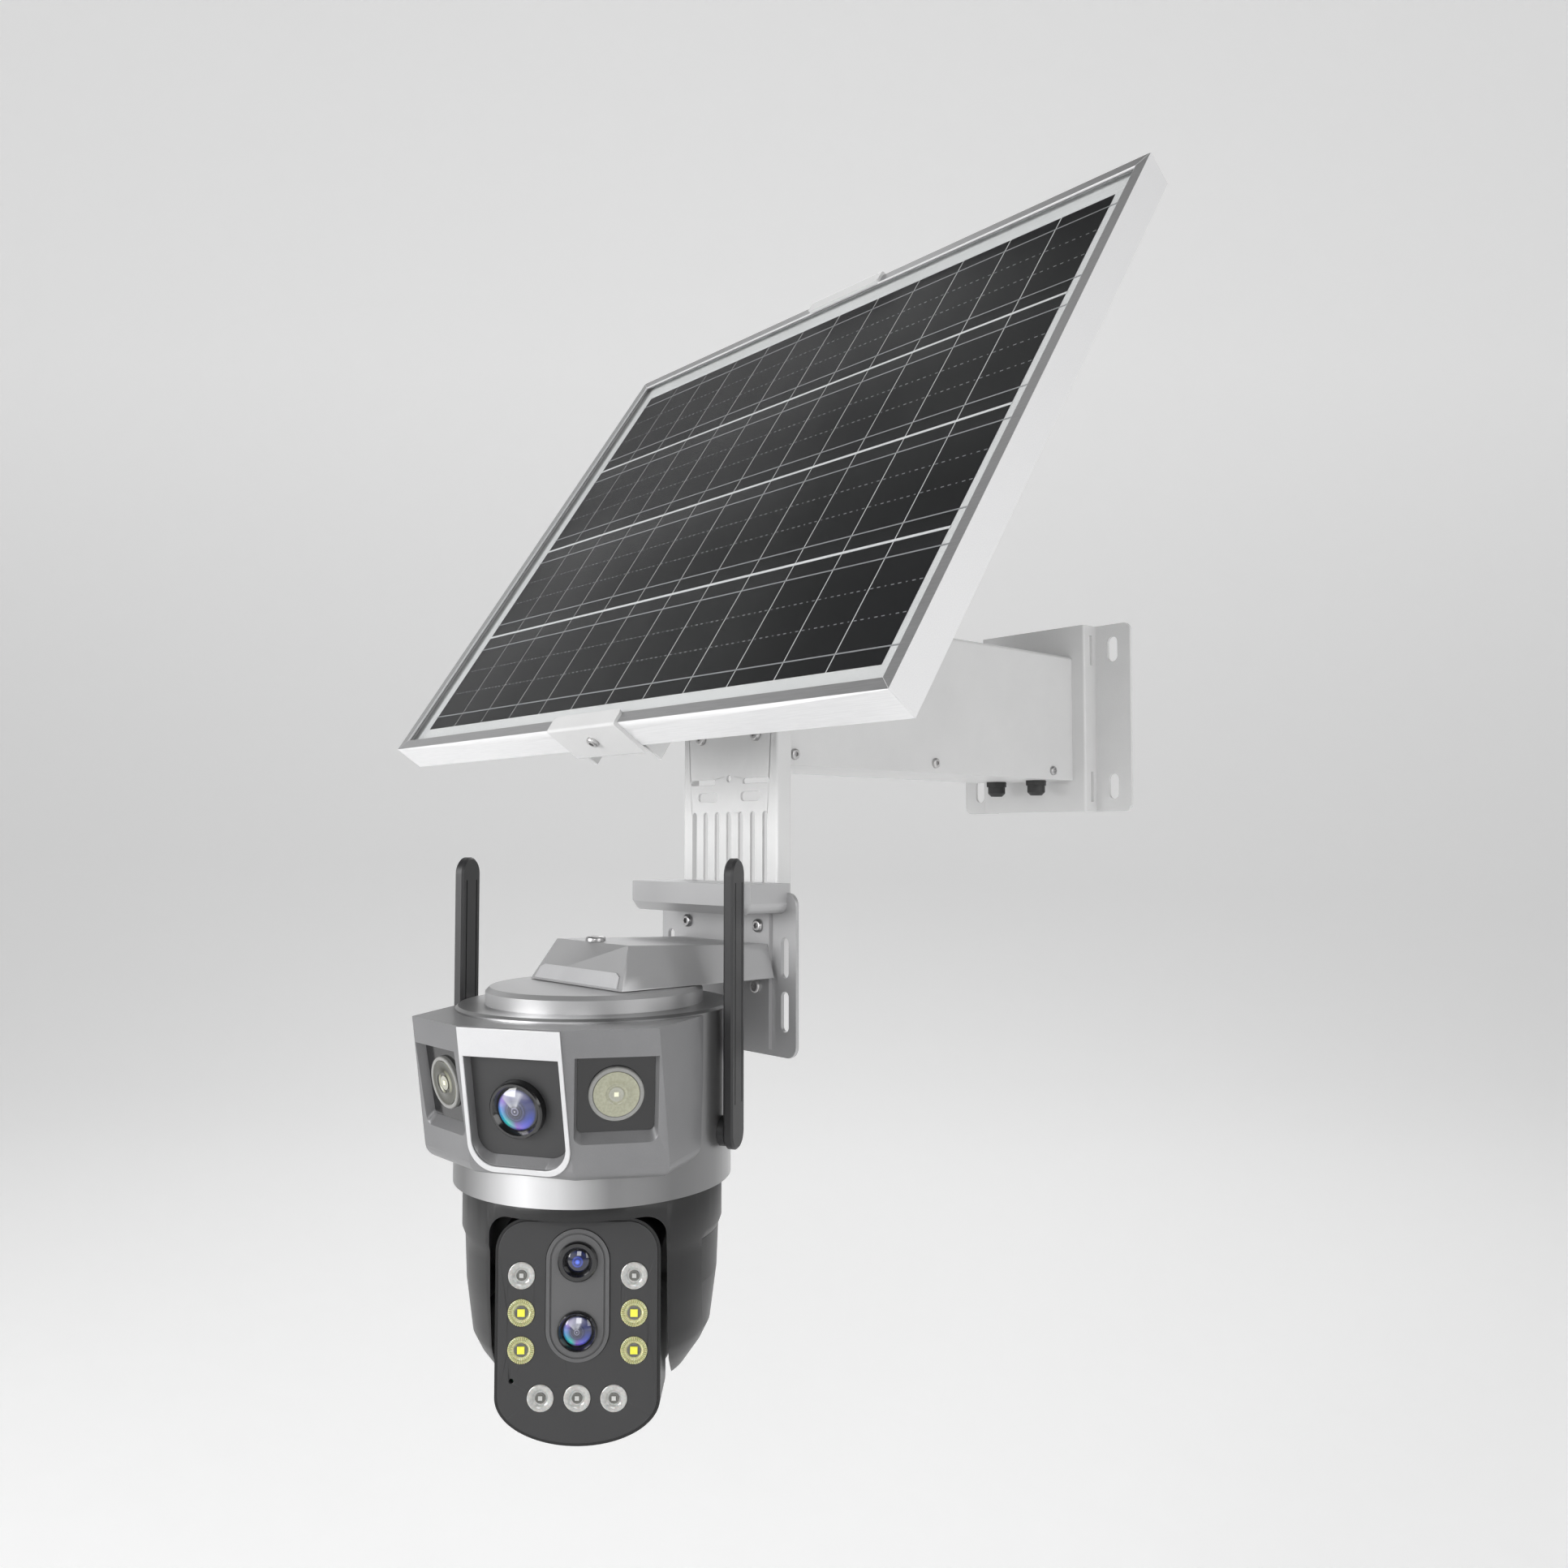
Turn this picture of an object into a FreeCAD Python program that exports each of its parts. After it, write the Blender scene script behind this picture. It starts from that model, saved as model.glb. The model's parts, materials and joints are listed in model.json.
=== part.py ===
import FreeCAD, Part
import math
import os

# Solar powered security camera: a framed solar panel on a wall arm that also holds the
# battery, and a pan and tilt camera hung from the slotted plate at the end of the arm.
# Millimetres. +Z up, -Y away from the wall, origin at the centre of the wall plate's back.
os.makedirs("parts", exist_ok=True)
V = FreeCAD.Vector

# ---- wall plate and arm ----
SHEET = 2.5
HAT_HALF = 52.0
HAT_DEPTH = 18.0
PLATE_HALF_W = 84.0
PLATE_HALF_H = 75.0
WALL_SLOT_X = 68.0
WALL_SLOT_Z = 55.0
WALL_SLOT_W = 9.0
WALL_SLOT_L = 20.0
ARM_HALF_W = 40.0
ARM_HALF_H = 50.0
ARM_WALL = 2.0
ARM_END_Y = -342.0
COVER_PLAY = 0.2
COVER_LIP = 12.0
COVER_SCREW_Y = (-45.0, -185.0, -322.0)
COVER_SCREW_Z = -43.0
ARM_BOLT_X = 25.0
ARM_BOLT_Z = 30.0

# ---- slotted camera plate ----
CAM_PLATE_T = 2.0
CAM_PLATE_FRONT = ARM_END_Y - CAM_PLATE_T
CAM_PLATE_HALF = 48.0
CAM_PLATE_BOTTOM = -200.0
CAM_PLATE_LIP = 12.0
SLOT_TOP = -80.0
SLOT_PITCH = 12.0
SLOT_LENGTHS = (78.0, 46.0, 60.0, 78.0)
SLOT_R = 2.3
PLATE_BOLT_X = 28.0
PLATE_BOLT_Z = 30.0

# ---- solar panel, drawn flat: x across, y up the slope, z along its face normal ----
PANEL_W = 500.0
PANEL_H = 400.0
FRAME_T = 22.0
FRAME_LIP = 8.0
PANEL_TILT = 56.0
PANEL_CENTRE = V(0, -345.0, 135.0)
PIVOT_N = -52.0
CELL_COLS = 12
CELL_ROWS = 4
CELL_AREA_W = 462.0
CELL_AREA_H = 360.0
CELL_GAP_X = 1.2
CELL_GAP_Y = 2.2
GLASS_T = 3.2
RAIL_HALF = 35.0
RAIL_DEPTH = 16.0
EAR_R = 14.0
LOCK_RADIUS = 24.0
LOCK_R = 3.0
PIVOT_R = 4.0
TILT_LOW = 30.0
TILT_HIGH = 60.0
CLIP_HALF = 36.0

# ---- camera unit, drawn about its own vertical axis, z = 0 at the foot of the band ----
BRACKET_BACK = 102.5
CAM_AXIS = V(0, CAM_PLATE_FRONT - BRACKET_BACK, -294.0)
BODY_YAW = 30.0
LOOK_YAW = 48.0
BODY_R = 81.0
BODY_H = 100.0
BODY_WALL = 2.5
FACE_TOP = 97.5
FACE_FOOT = 16.0
FACE_LEAN = 16.0
FACE_HALF = 30.6
FACE_D = 101.0
CORNER_X = 75.0
CORNER_D = 76.0
SIDE_X = 78.0
SIDE_D = 29.0
COLLAR_R = 64.0
COLLAR_TOP = 110.0
HUB_R = 7.0
TURN_GAP = 0.06
ANTENNA_X = 88.0
ANTENNA_T = 6.0
ANTENNA_W = 20.0
ANTENNA_PIVOT_Z = 29.0
ANTENNA_TOP = 185.0
KNUCKLE_R = 8.5

# ---- yoke and lens pod ----
YOKE_TOP = -1.0
GAP_HALF = 48.5
ROOF_Z = -8.0
TILT_Z = -62.0
POD_HALF = 45.2
POD_TOP = -11.2
POD_CORNER = 18.0
POD_SIDE_END = -107.8
POD_FOOT_DROP = 25.7
POD_FRONT = 57.0
POD_BACK = 20.0
DRUM_R = 46.0
PAN_HUB_R = 22.0
GEAR_TEETH = 60
PINION_TEETH = 12
GEAR_MODULE = 1.0
GEAR_DIST = GEAR_MODULE * (GEAR_TEETH + PINION_TEETH) / 2
UPPER_LENS_Z = -34.4
LOWER_LENS_Z = -71.8
LENS_R = 10.8
UPPER_GLASS_R = 6.5
LOWER_GLASS_R = 8.4
LED_R = 7.3
LED_SIDE_X = 30.8
LED_ROWS = (-42.2, -62.2, -82.2)
LED_FOOT_X = (-20.0, 0.0, 20.0)
LED_FOOT_Z = -107.8


def box(x0, x1, y0, y1, z0, z1):
    return Part.makeBox(x1 - x0, y1 - y0, z1 - z0, V(x0, y0, z0))


def rod(start, direction, radius, length):
    return Part.makeCylinder(radius, length, start, direction)


def fuse(shapes):
    return shapes[0].multiFuse(shapes[1:]).removeSplitter()


def group(shapes):
    return Part.makeCompound(shapes)


def prism(points, vector):
    return Part.Face(Part.makePolygon(points + [points[0]])).extrude(vector)


def both_sides(shape):
    return [shape, shape.mirror(V(0, 0, 0), V(1, 0, 0))]


def round_edges(shape, direction, radius, keep=None):
    edges = []
    for edge in shape.Edges:
        if edge.Curve.TypeId != "Part::GeomLine":
            continue
        along = edge.tangentAt(edge.FirstParameter)
        if abs(along.dot(direction)) < 0.999:
            continue
        if keep is None or keep(edge.CenterOfMass):
            edges.append(edge)
    return shape.makeFillet(radius, edges)


def slot_x(centre, half_length, radius, y0, y1):
    """Slot that runs along X, cut along Y from y0 to y1."""
    run = half_length - radius
    body = box(centre.x - run, centre.x + run, y0, y1, centre.z - radius, centre.z + radius)
    ends = [rod(V(centre.x + s * run, y0, centre.z), V(0, 1, 0), radius, y1 - y0) for s in (-1, 1)]
    return fuse([body] + ends)


def slot_z(centre, half_length, radius, y0, y1):
    """Slot that runs along Z, cut along Y from y0 to y1."""
    run = half_length - radius
    body = box(centre.x - radius, centre.x + radius, y0, y1, centre.z - run, centre.z + run)
    ends = [rod(V(centre.x, y0, centre.z + s * run), V(0, 1, 0), radius, y1 - y0) for s in (-1, 1)]
    return fuse([body] + ends)


def hexagon(centre, direction, across, height):
    """Hexagonal prism, as for a nut or a bolt head."""
    radius = across / math.sqrt(3)
    points = [V(radius * math.cos(i * math.pi / 3), radius * math.sin(i * math.pi / 3), 0)
              for i in range(6)]
    solid = prism(points, V(0, 0, height))
    turn = FreeCAD.Rotation(V(0, 0, 1), direction)
    solid.Placement = FreeCAD.Placement(centre, turn)
    return solid


def domed_screw(seat, inward, shank_r, length, head_r, head_h):
    """Button head outside the seat with its shank going inward."""
    head = rod(seat, inward * -1, head_r, head_h)
    head = head.makeFillet(head_h * 0.6, [head.Edges[0]] if head.Edges[0].CenterOfMass.distanceToPoint(
        seat) > head_h * 0.5 else [head.Edges[2]])
    socket = hexagon(seat + inward * (-head_h * 0.45), inward * -1, head_r * 0.8, head_h)
    shank = rod(seat - inward * (head_h * 0.3), inward, shank_r, length + head_h * 0.3)
    return fuse([head.cut(socket), shank])


def nut(seat, outward, across, height, bore):
    return hexagon(seat, outward, across, height).cut(
        rod(seat - outward, outward, bore, height + 2))


def save(name, shape):
    shape.exportStep("parts/" + name + ".step")


# ------------------------------------------------------------------ wall plate and arm
def wall_plate():
    """Hat section: raised web for the arm and two flanges against the wall."""
    h = PLATE_HALF_H
    web = box(-HAT_HALF, HAT_HALF, -HAT_DEPTH, SHEET - HAT_DEPTH, -h, h)
    side = box(HAT_HALF - SHEET, HAT_HALF, -HAT_DEPTH, 0, -h, h)
    flange = box(HAT_HALF - SHEET, PLATE_HALF_W, -SHEET, 0, -h, h)
    flange = round_edges(flange, V(0, 1, 0), 6, lambda c: c.x > PLATE_HALF_W - 1)
    plate = fuse([web] + both_sides(side) + both_sides(flange))
    plate = round_edges(plate, V(0, 0, 1), 2.0, lambda c: c.y < 0.5 - HAT_DEPTH)
    cuts = []
    for z in (-WALL_SLOT_Z, WALL_SLOT_Z):
        wall_slot = slot_z(V(WALL_SLOT_X, 0, z), WALL_SLOT_L / 2, WALL_SLOT_W / 2, -9, 3)
        strap = box(HAT_HALF - 6, HAT_HALF + 3, -11, -7, z - 12, z + 12)
        cuts += both_sides(wall_slot) + both_sides(strap)
    for x in (-ARM_BOLT_X, ARM_BOLT_X):
        for z in (-ARM_BOLT_Z, ARM_BOLT_Z):
            cuts.append(rod(V(x, -30, z), V(0, 1, 0), 3.05, 30))
    return plate.cut(fuse(cuts))


def arm_housing():
    """Box arm, open underneath, with both ends closed."""
    w = ARM_HALF_W
    h = ARM_HALF_H
    outer = box(-w, w, ARM_END_Y, -HAT_DEPTH, -h, h)
    outer = round_edges(outer, V(0, 1, 0), 2.5, lambda c: c.z > 0)
    inner = box(ARM_WALL - w, w - ARM_WALL, ARM_END_Y + SHEET, -HAT_DEPTH - SHEET, -h - 1, h - ARM_WALL)
    shell = outer.cut(inner)
    cuts = []
    for x in (-ARM_BOLT_X, ARM_BOLT_X):
        for z in (-ARM_BOLT_Z, ARM_BOLT_Z):
            cuts.append(rod(V(x, -24, z), V(0, 1, 0), 3.2, 10))
    for x in (-PLATE_BOLT_X, PLATE_BOLT_X):
        for z in (-PLATE_BOLT_Z, PLATE_BOLT_Z):
            cuts.append(rod(V(x, ARM_END_Y - 1, z), V(0, 1, 0), 2.7, 8))
    for y in COVER_SCREW_Y:
        cuts.append(rod(V(-w - 2, y, COVER_SCREW_Z), V(1, 0, 0), 2.1, 2 * w + 4))
    for x, y in tilt_base_bolts():
        cuts.append(rod(V(x, y, h - 6), V(0, 0, 1), 2.7, 10))
    return shell.cut(fuse(cuts))


def arm_bottom_cover():
    """Tray that closes the arm from below; its lips stand inside the arm walls."""
    w = ARM_HALF_W - ARM_WALL - COVER_PLAY
    y0 = ARM_END_Y + SHEET + COVER_PLAY
    y1 = -HAT_DEPTH - SHEET - COVER_PLAY
    z0 = -ARM_HALF_H
    tray = box(-w, w, y0, y1, z0, z0 + COVER_LIP).cut(
        box(1.5 - w, w - 1.5, y0 - 1, y1 + 1, z0 + 1.5, z0 + COVER_LIP + 1))
    cuts = [rod(V(-w - 1, y, COVER_SCREW_Z), V(1, 0, 0), 2.1, 2 * w + 2) for y in COVER_SCREW_Y]
    cuts += [rod(V(x, GLAND_Y, z0 - 1), V(0, 0, 1), 6.1, 4) for x in GLAND_X]
    return tray.cut(fuse(cuts))


def arm_cover_screws():
    screws = []
    for y in COVER_SCREW_Y:
        for side in (-1, 1):
            seat = V(side * ARM_HALF_W, y, COVER_SCREW_Z)
            screws.append(domed_screw(seat, V(-side, 0, 0), 1.95, 5.5, 3.6, 2.2))
    return group(screws)


def arm_bolts():
    """Four bolts from inside the arm, each with a nut on the far side of the web."""
    pieces = []
    for x in (-ARM_BOLT_X, ARM_BOLT_X):
        for z in (-ARM_BOLT_Z, ARM_BOLT_Z):
            seat = V(x, -HAT_DEPTH - SHEET, z)
            pieces.append(domed_screw(seat, V(0, 1, 0), 2.95, 12, 5.5, 3.2))
            flat = hexagon(V(x, SHEET - HAT_DEPTH, z), V(0, 1, 0), 10, 5.0)
            pieces.append(flat.cut(rod(V(x, -30, z), V(0, 1, 0), 3.05, 30)))
    return group(pieces)


CELL_R = 9.2
CELL_L = 65.0
CELL_PITCH = 20.0
CELL_X = (-CELL_PITCH, 0.0, CELL_PITCH)
CELL_Z = (-18.0, 2.0, 22.0)
CELL_Y = (-250.0, -325.0)


def battery_pack():
    """Two banks of cells in bored end frames that stand on the cover."""
    pieces = []
    half = CELL_PITCH + CELL_R + 3
    spots = [(x, z) for x in CELL_X for z in CELL_Z]
    for y in CELL_Y:
        for x, z in spots:
            can = rod(V(x, y, z), V(0, 1, 0), CELL_R, CELL_L)
            cap = rod(V(x, y + CELL_L - 0.5, z), V(0, 1, 0), 3.0, 2.0)
            pieces.append(fuse([can, cap]))
        for start in (y + 4, y + CELL_L - 12):
            frame = box(-half, half, start, start + 8, 1.5 - ARM_HALF_H, CELL_Z[2] + CELL_R + 3)
            bores = [rod(V(x, start - 1, z), V(0, 1, 0), CELL_R + 0.15, 10) for x, z in spots]
            pieces.append(frame.cut(fuse(bores)))
    return group(pieces)


def charge_controller():
    """Circuit board on the cover with its terminals, coil, capacitors and heat sink."""
    z = -ARM_HALF_H + 9.5
    y0 = -150.0
    board = box(-30, 30, y0, y0 + 95, z, z + 1.6)
    posts = [rod(V(x, y, 1.5 - ARM_HALF_H), V(0, 0, 1), 2.5, 8.2)
             for x in (-25, 25) for y in (y0 + 6, y0 + 89)]
    terminals = box(-26, 26, y0 + 80, y0 + 92, z + 1.4, z + 14)
    coil = rod(V(-12, y0 + 30, z + 1.4), V(0, 0, 1), 11, 10)
    caps = [rod(V(x, y0 + 58, z + 1.4), V(0, 0, 1), 5, 16) for x in (-20, -6, 8)]
    sink = [box(8 + 4 * i, 10 + 4 * i, y0 + 14, y0 + 48, z + 1.4, z + 18) for i in range(5)]
    sink.append(box(8, 26, y0 + 14, y0 + 48, z + 1.4, z + 4))
    return fuse([board, terminals, coil] + posts + caps + sink)


GLAND_X = (-20.0, 20.0)
GLAND_Y = -40.0


def cable_glands():
    """Two cable inlets under the arm, next to the wall."""
    glands = []
    for x in GLAND_X:
        foot = V(x, GLAND_Y, -ARM_HALF_H)
        thread = rod(foot, V(0, 0, 1), 6.0, 6)
        collar = hexagon(foot, V(0, 0, -1), 15, 4)
        cap = rod(foot - V(0, 0, 3.9), V(0, 0, -1), 7, 8)
        cap = cap.makeChamfer(2.5, [e for e in cap.Edges if e.CenterOfMass.z < foot.z - 11])
        bore = rod(foot - V(0, 0, 13), V(0, 0, 1), 2.6, 22)
        glands.append(fuse([thread, collar, cap]).cut(bore))
    return group(glands)


# ------------------------------------------------------------------ slotted camera plate
def camera_plate():
    """Folded plate on the end of the arm with the camera's adjusting slots."""
    h = CAM_PLATE_HALF
    y = CAM_PLATE_FRONT
    front = box(-h, h, y, ARM_END_Y, CAM_PLATE_BOTTOM, ARM_HALF_H)
    front = round_edges(front, V(0, 1, 0), 6, lambda c: c.z < CAM_PLATE_BOTTOM + 1)
    lip = box(h - CAM_PLATE_T, h, y, y + CAM_PLATE_LIP, CAM_PLATE_BOTTOM + 6, ARM_HALF_H)
    plate = fuse([front] + both_sides(lip))
    plate = round_edges(plate, V(0, 0, 1), 1.6, lambda c: c.y < y + 0.5)
    cut_y = (y - 2, ARM_END_Y + 1)
    cuts = [rod(V(0, cut_y[0], -58), V(0, 1, 0), 2.2, 5)]
    cuts += both_sides(slot_x(V(27, 0, -60), 13, 1.7, *cut_y))
    cuts += both_sides(slot_x(V(22, 0, -70), 10, 3.0, *cut_y))
    for i, length in enumerate(SLOT_LENGTHS):
        centre = V(i * SLOT_PITCH, 0, SLOT_TOP - length / 2)
        cutter = slot_z(centre, length / 2, SLOT_R, *cut_y)
        cuts += both_sides(cutter) if i else [cutter]
    cuts += both_sides(slot_x(V(29, 0, CAM_PLATE_BOTTOM + 10), 11, 2.6, *cut_y))
    for z in (-PLATE_BOLT_Z, PLATE_BOLT_Z):
        cuts += both_sides(rod(V(PLATE_BOLT_X, cut_y[0], z), V(0, 1, 0), 2.7, 5))
    return plate.cut(fuse(cuts))


def m5_seats():
    """Seat and inward direction of each bolt through the arm's front end and top."""
    front = [(V(x, CAM_PLATE_FRONT, z), V(0, 1, 0))
             for x in (-PLATE_BOLT_X, PLATE_BOLT_X) for z in (-PLATE_BOLT_Z, PLATE_BOLT_Z)]
    top = [(V(x, y, ARM_HALF_H + BASE_EAR_T), V(0, 0, -1)) for x, y in tilt_base_bolts()]
    return front + top


def m5_bolts():
    return group([domed_screw(seat, inward, 2.45, 11, 4.8, 2.8) for seat, inward in m5_seats()])


def m5_nuts():
    grips = (CAM_PLATE_T + SHEET, BASE_EAR_T + ARM_WALL)
    nuts = []
    for seat, inward in m5_seats():
        grip = grips[0] if inward.y > 0 else grips[1]
        nuts.append(nut(seat + inward * grip, inward, 8, 4, 2.55))
    return group(nuts)


# ------------------------------------------------------------------ panel tilt base
def pivot_point():
    tilt = math.radians(PANEL_TILT)
    return PANEL_CENTRE + V(0, -math.sin(tilt), math.cos(tilt)) * PIVOT_N


def tilt_base_bolts():
    y = pivot_point().y
    return [(x, y + dy) for x in (-17.0, 17.0) for dy in (-17.0, 19.0)]


BASE_EAR_OUT = 32.0
BASE_EAR_T = 3.0


def tilt_base():
    """U bracket on top of the arm; its ears carry the pivot and the locking arcs."""
    p = pivot_point()
    z0 = ARM_HALF_H
    drop = z0 - p.z
    foot = box(-BASE_EAR_OUT, BASE_EAR_OUT, p.y - 28, p.y + 30, z0, z0 + BASE_EAR_T)
    rim = [(-28, drop), (30, drop), (30, -6), (13, 13), (-13, 13)]
    points = [V(BASE_EAR_OUT - BASE_EAR_T, p.y + a, p.z + b) for a, b in rim]
    ear = prism(points, V(BASE_EAR_T, 0, 0))
    ear = round_edges(ear, V(1, 0, 0), 5, lambda c: c.z > z0 + 1)
    arc = [rod(V(BASE_EAR_OUT - 6, 0, 0), V(1, 0, 0), LOCK_RADIUS + LOCK_R + 0.4, 10).cut(
        rod(V(BASE_EAR_OUT - 7, 0, 0), V(1, 0, 0), LOCK_RADIUS - LOCK_R - 0.4, 12))]
    lo = math.radians(TILT_LOW - 1)
    hi = math.radians(TILT_HIGH + 1)
    far = 3 * LOCK_RADIUS
    wedge = prism([V(BASE_EAR_OUT - 6, 0, 0),
                   V(BASE_EAR_OUT - 6, far * math.sin(lo), -far * math.cos(lo)),
                   V(BASE_EAR_OUT - 6, far * math.sin(hi), -far * math.cos(hi))], V(10, 0, 0))
    slot = [arc[0].common(wedge)]
    for a in (lo, hi):
        slot.append(rod(V(BASE_EAR_OUT - 6, LOCK_RADIUS * math.sin(a), -LOCK_RADIUS * math.cos(a)),
                        V(1, 0, 0), LOCK_R + 0.4, 10))
    slot = fuse(slot)
    slot.translate(p)
    ear = ear.cut(slot)
    bracket = fuse([foot] + both_sides(ear))
    cuts = [rod(V(-50, p.y, p.z), V(1, 0, 0), PIVOT_R + 0.2, 100)]
    cuts += [rod(V(x, y, z0 - 1), V(0, 0, 1), 2.7, 6) for x, y in tilt_base_bolts()]
    return bracket.cut(fuse(cuts))


def tilt_pivot_bolt():
    """Through bolt that the panel rail turns on, with its nut run up on the far side."""
    p = pivot_point()
    face = RAIL_HALF + 0.35
    head = hexagon(V(face, p.y, p.z), V(1, 0, 0), 13, 5.3)
    shank = rod(V(-face - 8, p.y, p.z), V(1, 0, 0), PIVOT_R, 2 * face + 9)
    lock_nut = hexagon(V(-face, p.y, p.z), V(-1, 0, 0), 13, 6.5)
    return fuse([head, shank, lock_nut])


# ------------------------------------------------------------------ solar panel
def place_panel(shape):
    """Stand a flat-drawn panel piece at its working slope."""
    turn = FreeCAD.Rotation(V(1, 0, 0), PANEL_TILT)
    shape.Placement = FreeCAD.Placement(PANEL_CENTRE, turn).multiply(shape.Placement)
    return shape


def ring(half_w, half_h, width, z0, z1):
    return box(-half_w, half_w, -half_h, half_h, z0, z1).cut(
        box(width - half_w, half_w - width, width - half_h, half_h - width, z0 - 1, z1 + 1))


def panel_frame():
    """Four mitred extrusions round the glass: wall, front lip, shelf and back flange."""
    hw = PANEL_W / 2
    hh = PANEL_H / 2
    whole = fuse([ring(hw, hh, 2.0, -FRAME_T, 0), ring(hw, hh, FRAME_LIP, -1.8, 0),
                  ring(hw, hh, 7.0, -8.0, -6.4), ring(hw, hh, 16.0, -FRAME_T, 2.0 - FRAME_T)])
    screw = rod(V(0, -hh - 5, -11), V(0, 1, 0), 2.0, 2 * hh + 10)
    whole = whole.cut(screw)
    inset = hh - 0.02
    low = -FRAME_T - 1
    up = V(0, 0, FRAME_T + 2)
    side = prism([V(hw + 1, hh + 1, low), V(hw - inset, 0.01, low), V(hw - inset, -0.01, low),
                  V(hw + 1, -hh - 1, low)], up)
    pieces = {}
    pieces["panel_frame_right"] = whole.common(side)
    pieces["panel_frame_left"] = whole.common(side.mirror(V(0, 0, 0), V(1, 0, 0)))
    rest = whole.cut(side).cut(side.mirror(V(0, 0, 0), V(1, 0, 0)))
    pieces["panel_frame_top"] = rest.common(box(-hw, hw, 0, hh + 1, low, 1))
    pieces["panel_frame_bottom"] = rest.common(box(-hw, hw, -hh - 1, 0, low, 1))
    return pieces


def panel_glass():
    hw = PANEL_W / 2 - 2.2
    hh = PANEL_H / 2 - 2.2
    return box(-hw, hw, -hh, hh, -1.8 - GLASS_T, -1.8)


def cell_spots():
    pitch_x = CELL_AREA_W / CELL_COLS
    pitch_y = CELL_AREA_H / CELL_ROWS
    spots = []
    for i in range(CELL_COLS):
        for j in range(CELL_ROWS):
            spots.append(((i + 0.5) * pitch_x - CELL_AREA_W / 2, (j + 0.5) * pitch_y - CELL_AREA_H / 2))
    return spots, pitch_x - CELL_GAP_X, pitch_y - CELL_GAP_Y


def solar_cells():
    spots, w, h = cell_spots()
    top = -1.8 - GLASS_T
    return group([box(x - w / 2, x + w / 2, y - h / 2, y + h / 2, top - 0.3, top) for x, y in spots])


def panel_backsheet():
    hw = PANEL_W / 2 - 2.2
    hh = PANEL_H / 2 - 2.2
    top = -1.8 - GLASS_T - 0.3
    return box(-hw, hw, -hh, hh, top - 0.8, top)


def junction_box():
    """Sealed connection box stuck to the back of the panel."""
    top = -1.8 - GLASS_T - 1.1
    case = box(85, 175, 110, 170, top - 13, top)
    case = round_edges(case, V(0, 0, 1), 5)
    lid = box(90, 170, 115, 165, top - 15, top - 12.5)
    lid = round_edges(lid, V(0, 0, 1), 4)
    ribs = [box(97 + 8 * i, 100 + 8 * i, 118, 162, top - 15.8, top - 14.5) for i in range(9)]
    return fuse([case, lid] + ribs)


def panel_rail():
    """Channel across the back of the panel with two ears for the pivot."""
    half = PANEL_H / 2 - 2
    back = -FRAME_T
    web = box(-RAIL_HALF, RAIL_HALF, -half, half, back - SHEET, back)
    flange = box(RAIL_HALF - SHEET, RAIL_HALF, -half, half, back - RAIL_DEPTH, back)
    rim = [(-24, back - RAIL_DEPTH + 2), (24, back - RAIL_DEPTH + 2), (13, PIVOT_N - 2),
           (8, PIVOT_N - LOCK_RADIUS - 6), (-8, PIVOT_N - LOCK_RADIUS - 6), (-13, PIVOT_N - 2)]
    ear = prism([V(RAIL_HALF - SHEET, a, b) for a, b in rim], V(SHEET, 0, 0))
    ear = round_edges(ear, V(1, 0, 0), 5, lambda c: c.z < PIVOT_N - LOCK_RADIUS)
    rail = fuse([web] + both_sides(flange) + both_sides(ear))
    rail = round_edges(rail, V(0, 1, 0), 2.0, lambda c: abs(c.x) > RAIL_HALF - 0.1 and c.z > back - 0.1)
    cuts = [rod(V(-50, 0, PIVOT_N), V(1, 0, 0), PIVOT_R + TURN_GAP, 100),
            rod(V(-50, 0, PIVOT_N - LOCK_RADIUS), V(1, 0, 0), LOCK_R + 0.1, 100)]
    return rail.cut(fuse(cuts))


def tilt_lock_bolt():
    face = RAIL_HALF
    z = PIVOT_N - LOCK_RADIUS
    head = hexagon(V(face, 0, z), V(1, 0, 0), 10, 4)
    shank = rod(V(-face - 6, 0, z), V(1, 0, 0), LOCK_R, 2 * face + 7)
    knob = hexagon(V(-face, 0, z), V(-1, 0, 0), 10, 5)
    return fuse([head, shank, knob])


def panel_clips():
    """Hooked plates that grip the frame edge at both ends of the rail."""
    edge = PANEL_H / 2
    back = -FRAME_T - SHEET
    hook = box(-CLIP_HALF, CLIP_HALF, edge - 9, edge + SHEET, 0, 2.0)
    hook = round_edges(hook, V(0, 0, 1), 4, lambda c: c.y < edge - 8)
    wall = box(-CLIP_HALF, CLIP_HALF, edge, edge + SHEET, back - SHEET, 2.0)
    foot = box(-30, 30, edge - 24, edge + SHEET, back - SHEET, back)
    clip = fuse([hook, wall, foot])
    clip = round_edges(clip, V(1, 0, 0), 1.8, lambda c: c.y > edge + 2)
    clip = clip.cut(rod(V(0, edge - 3, -11), V(0, 1, 0), 2.1, 10))
    return group([clip, clip.mirror(V(0, 0, 0), V(0, 1, 0))])


def clip_screws():
    edge = PANEL_H / 2 + SHEET
    return group([domed_screw(V(0, s * edge, -11), V(0, -s, 0), 1.9, 9, 4.0, 2.6) for s in (-1, 1)])


# ------------------------------------------------------------------ camera bracket and neck
def place_camera(shape, yaw=0.0):
    """Move a piece drawn about the camera axis to its place, turned by yaw degrees."""
    turn = FreeCAD.Rotation(V(0, 0, 1), yaw)
    shape.Placement = FreeCAD.Placement(CAM_AXIS, turn).multiply(shape.Placement)
    return shape


BRACKET_HALF = 68.0
BRACKET_FOOT = 62.0
HOOD_HALF = 60.0
HOOD_LOW = 150.0
HOOD_TOP = 169.0
HOOD_FRONT = 65.0
BRACKET_BOLTS = ((36.0, 142.0), (34.0, 104.0))
NECK_FOOT = COLLAR_TOP + 0.4


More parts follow.
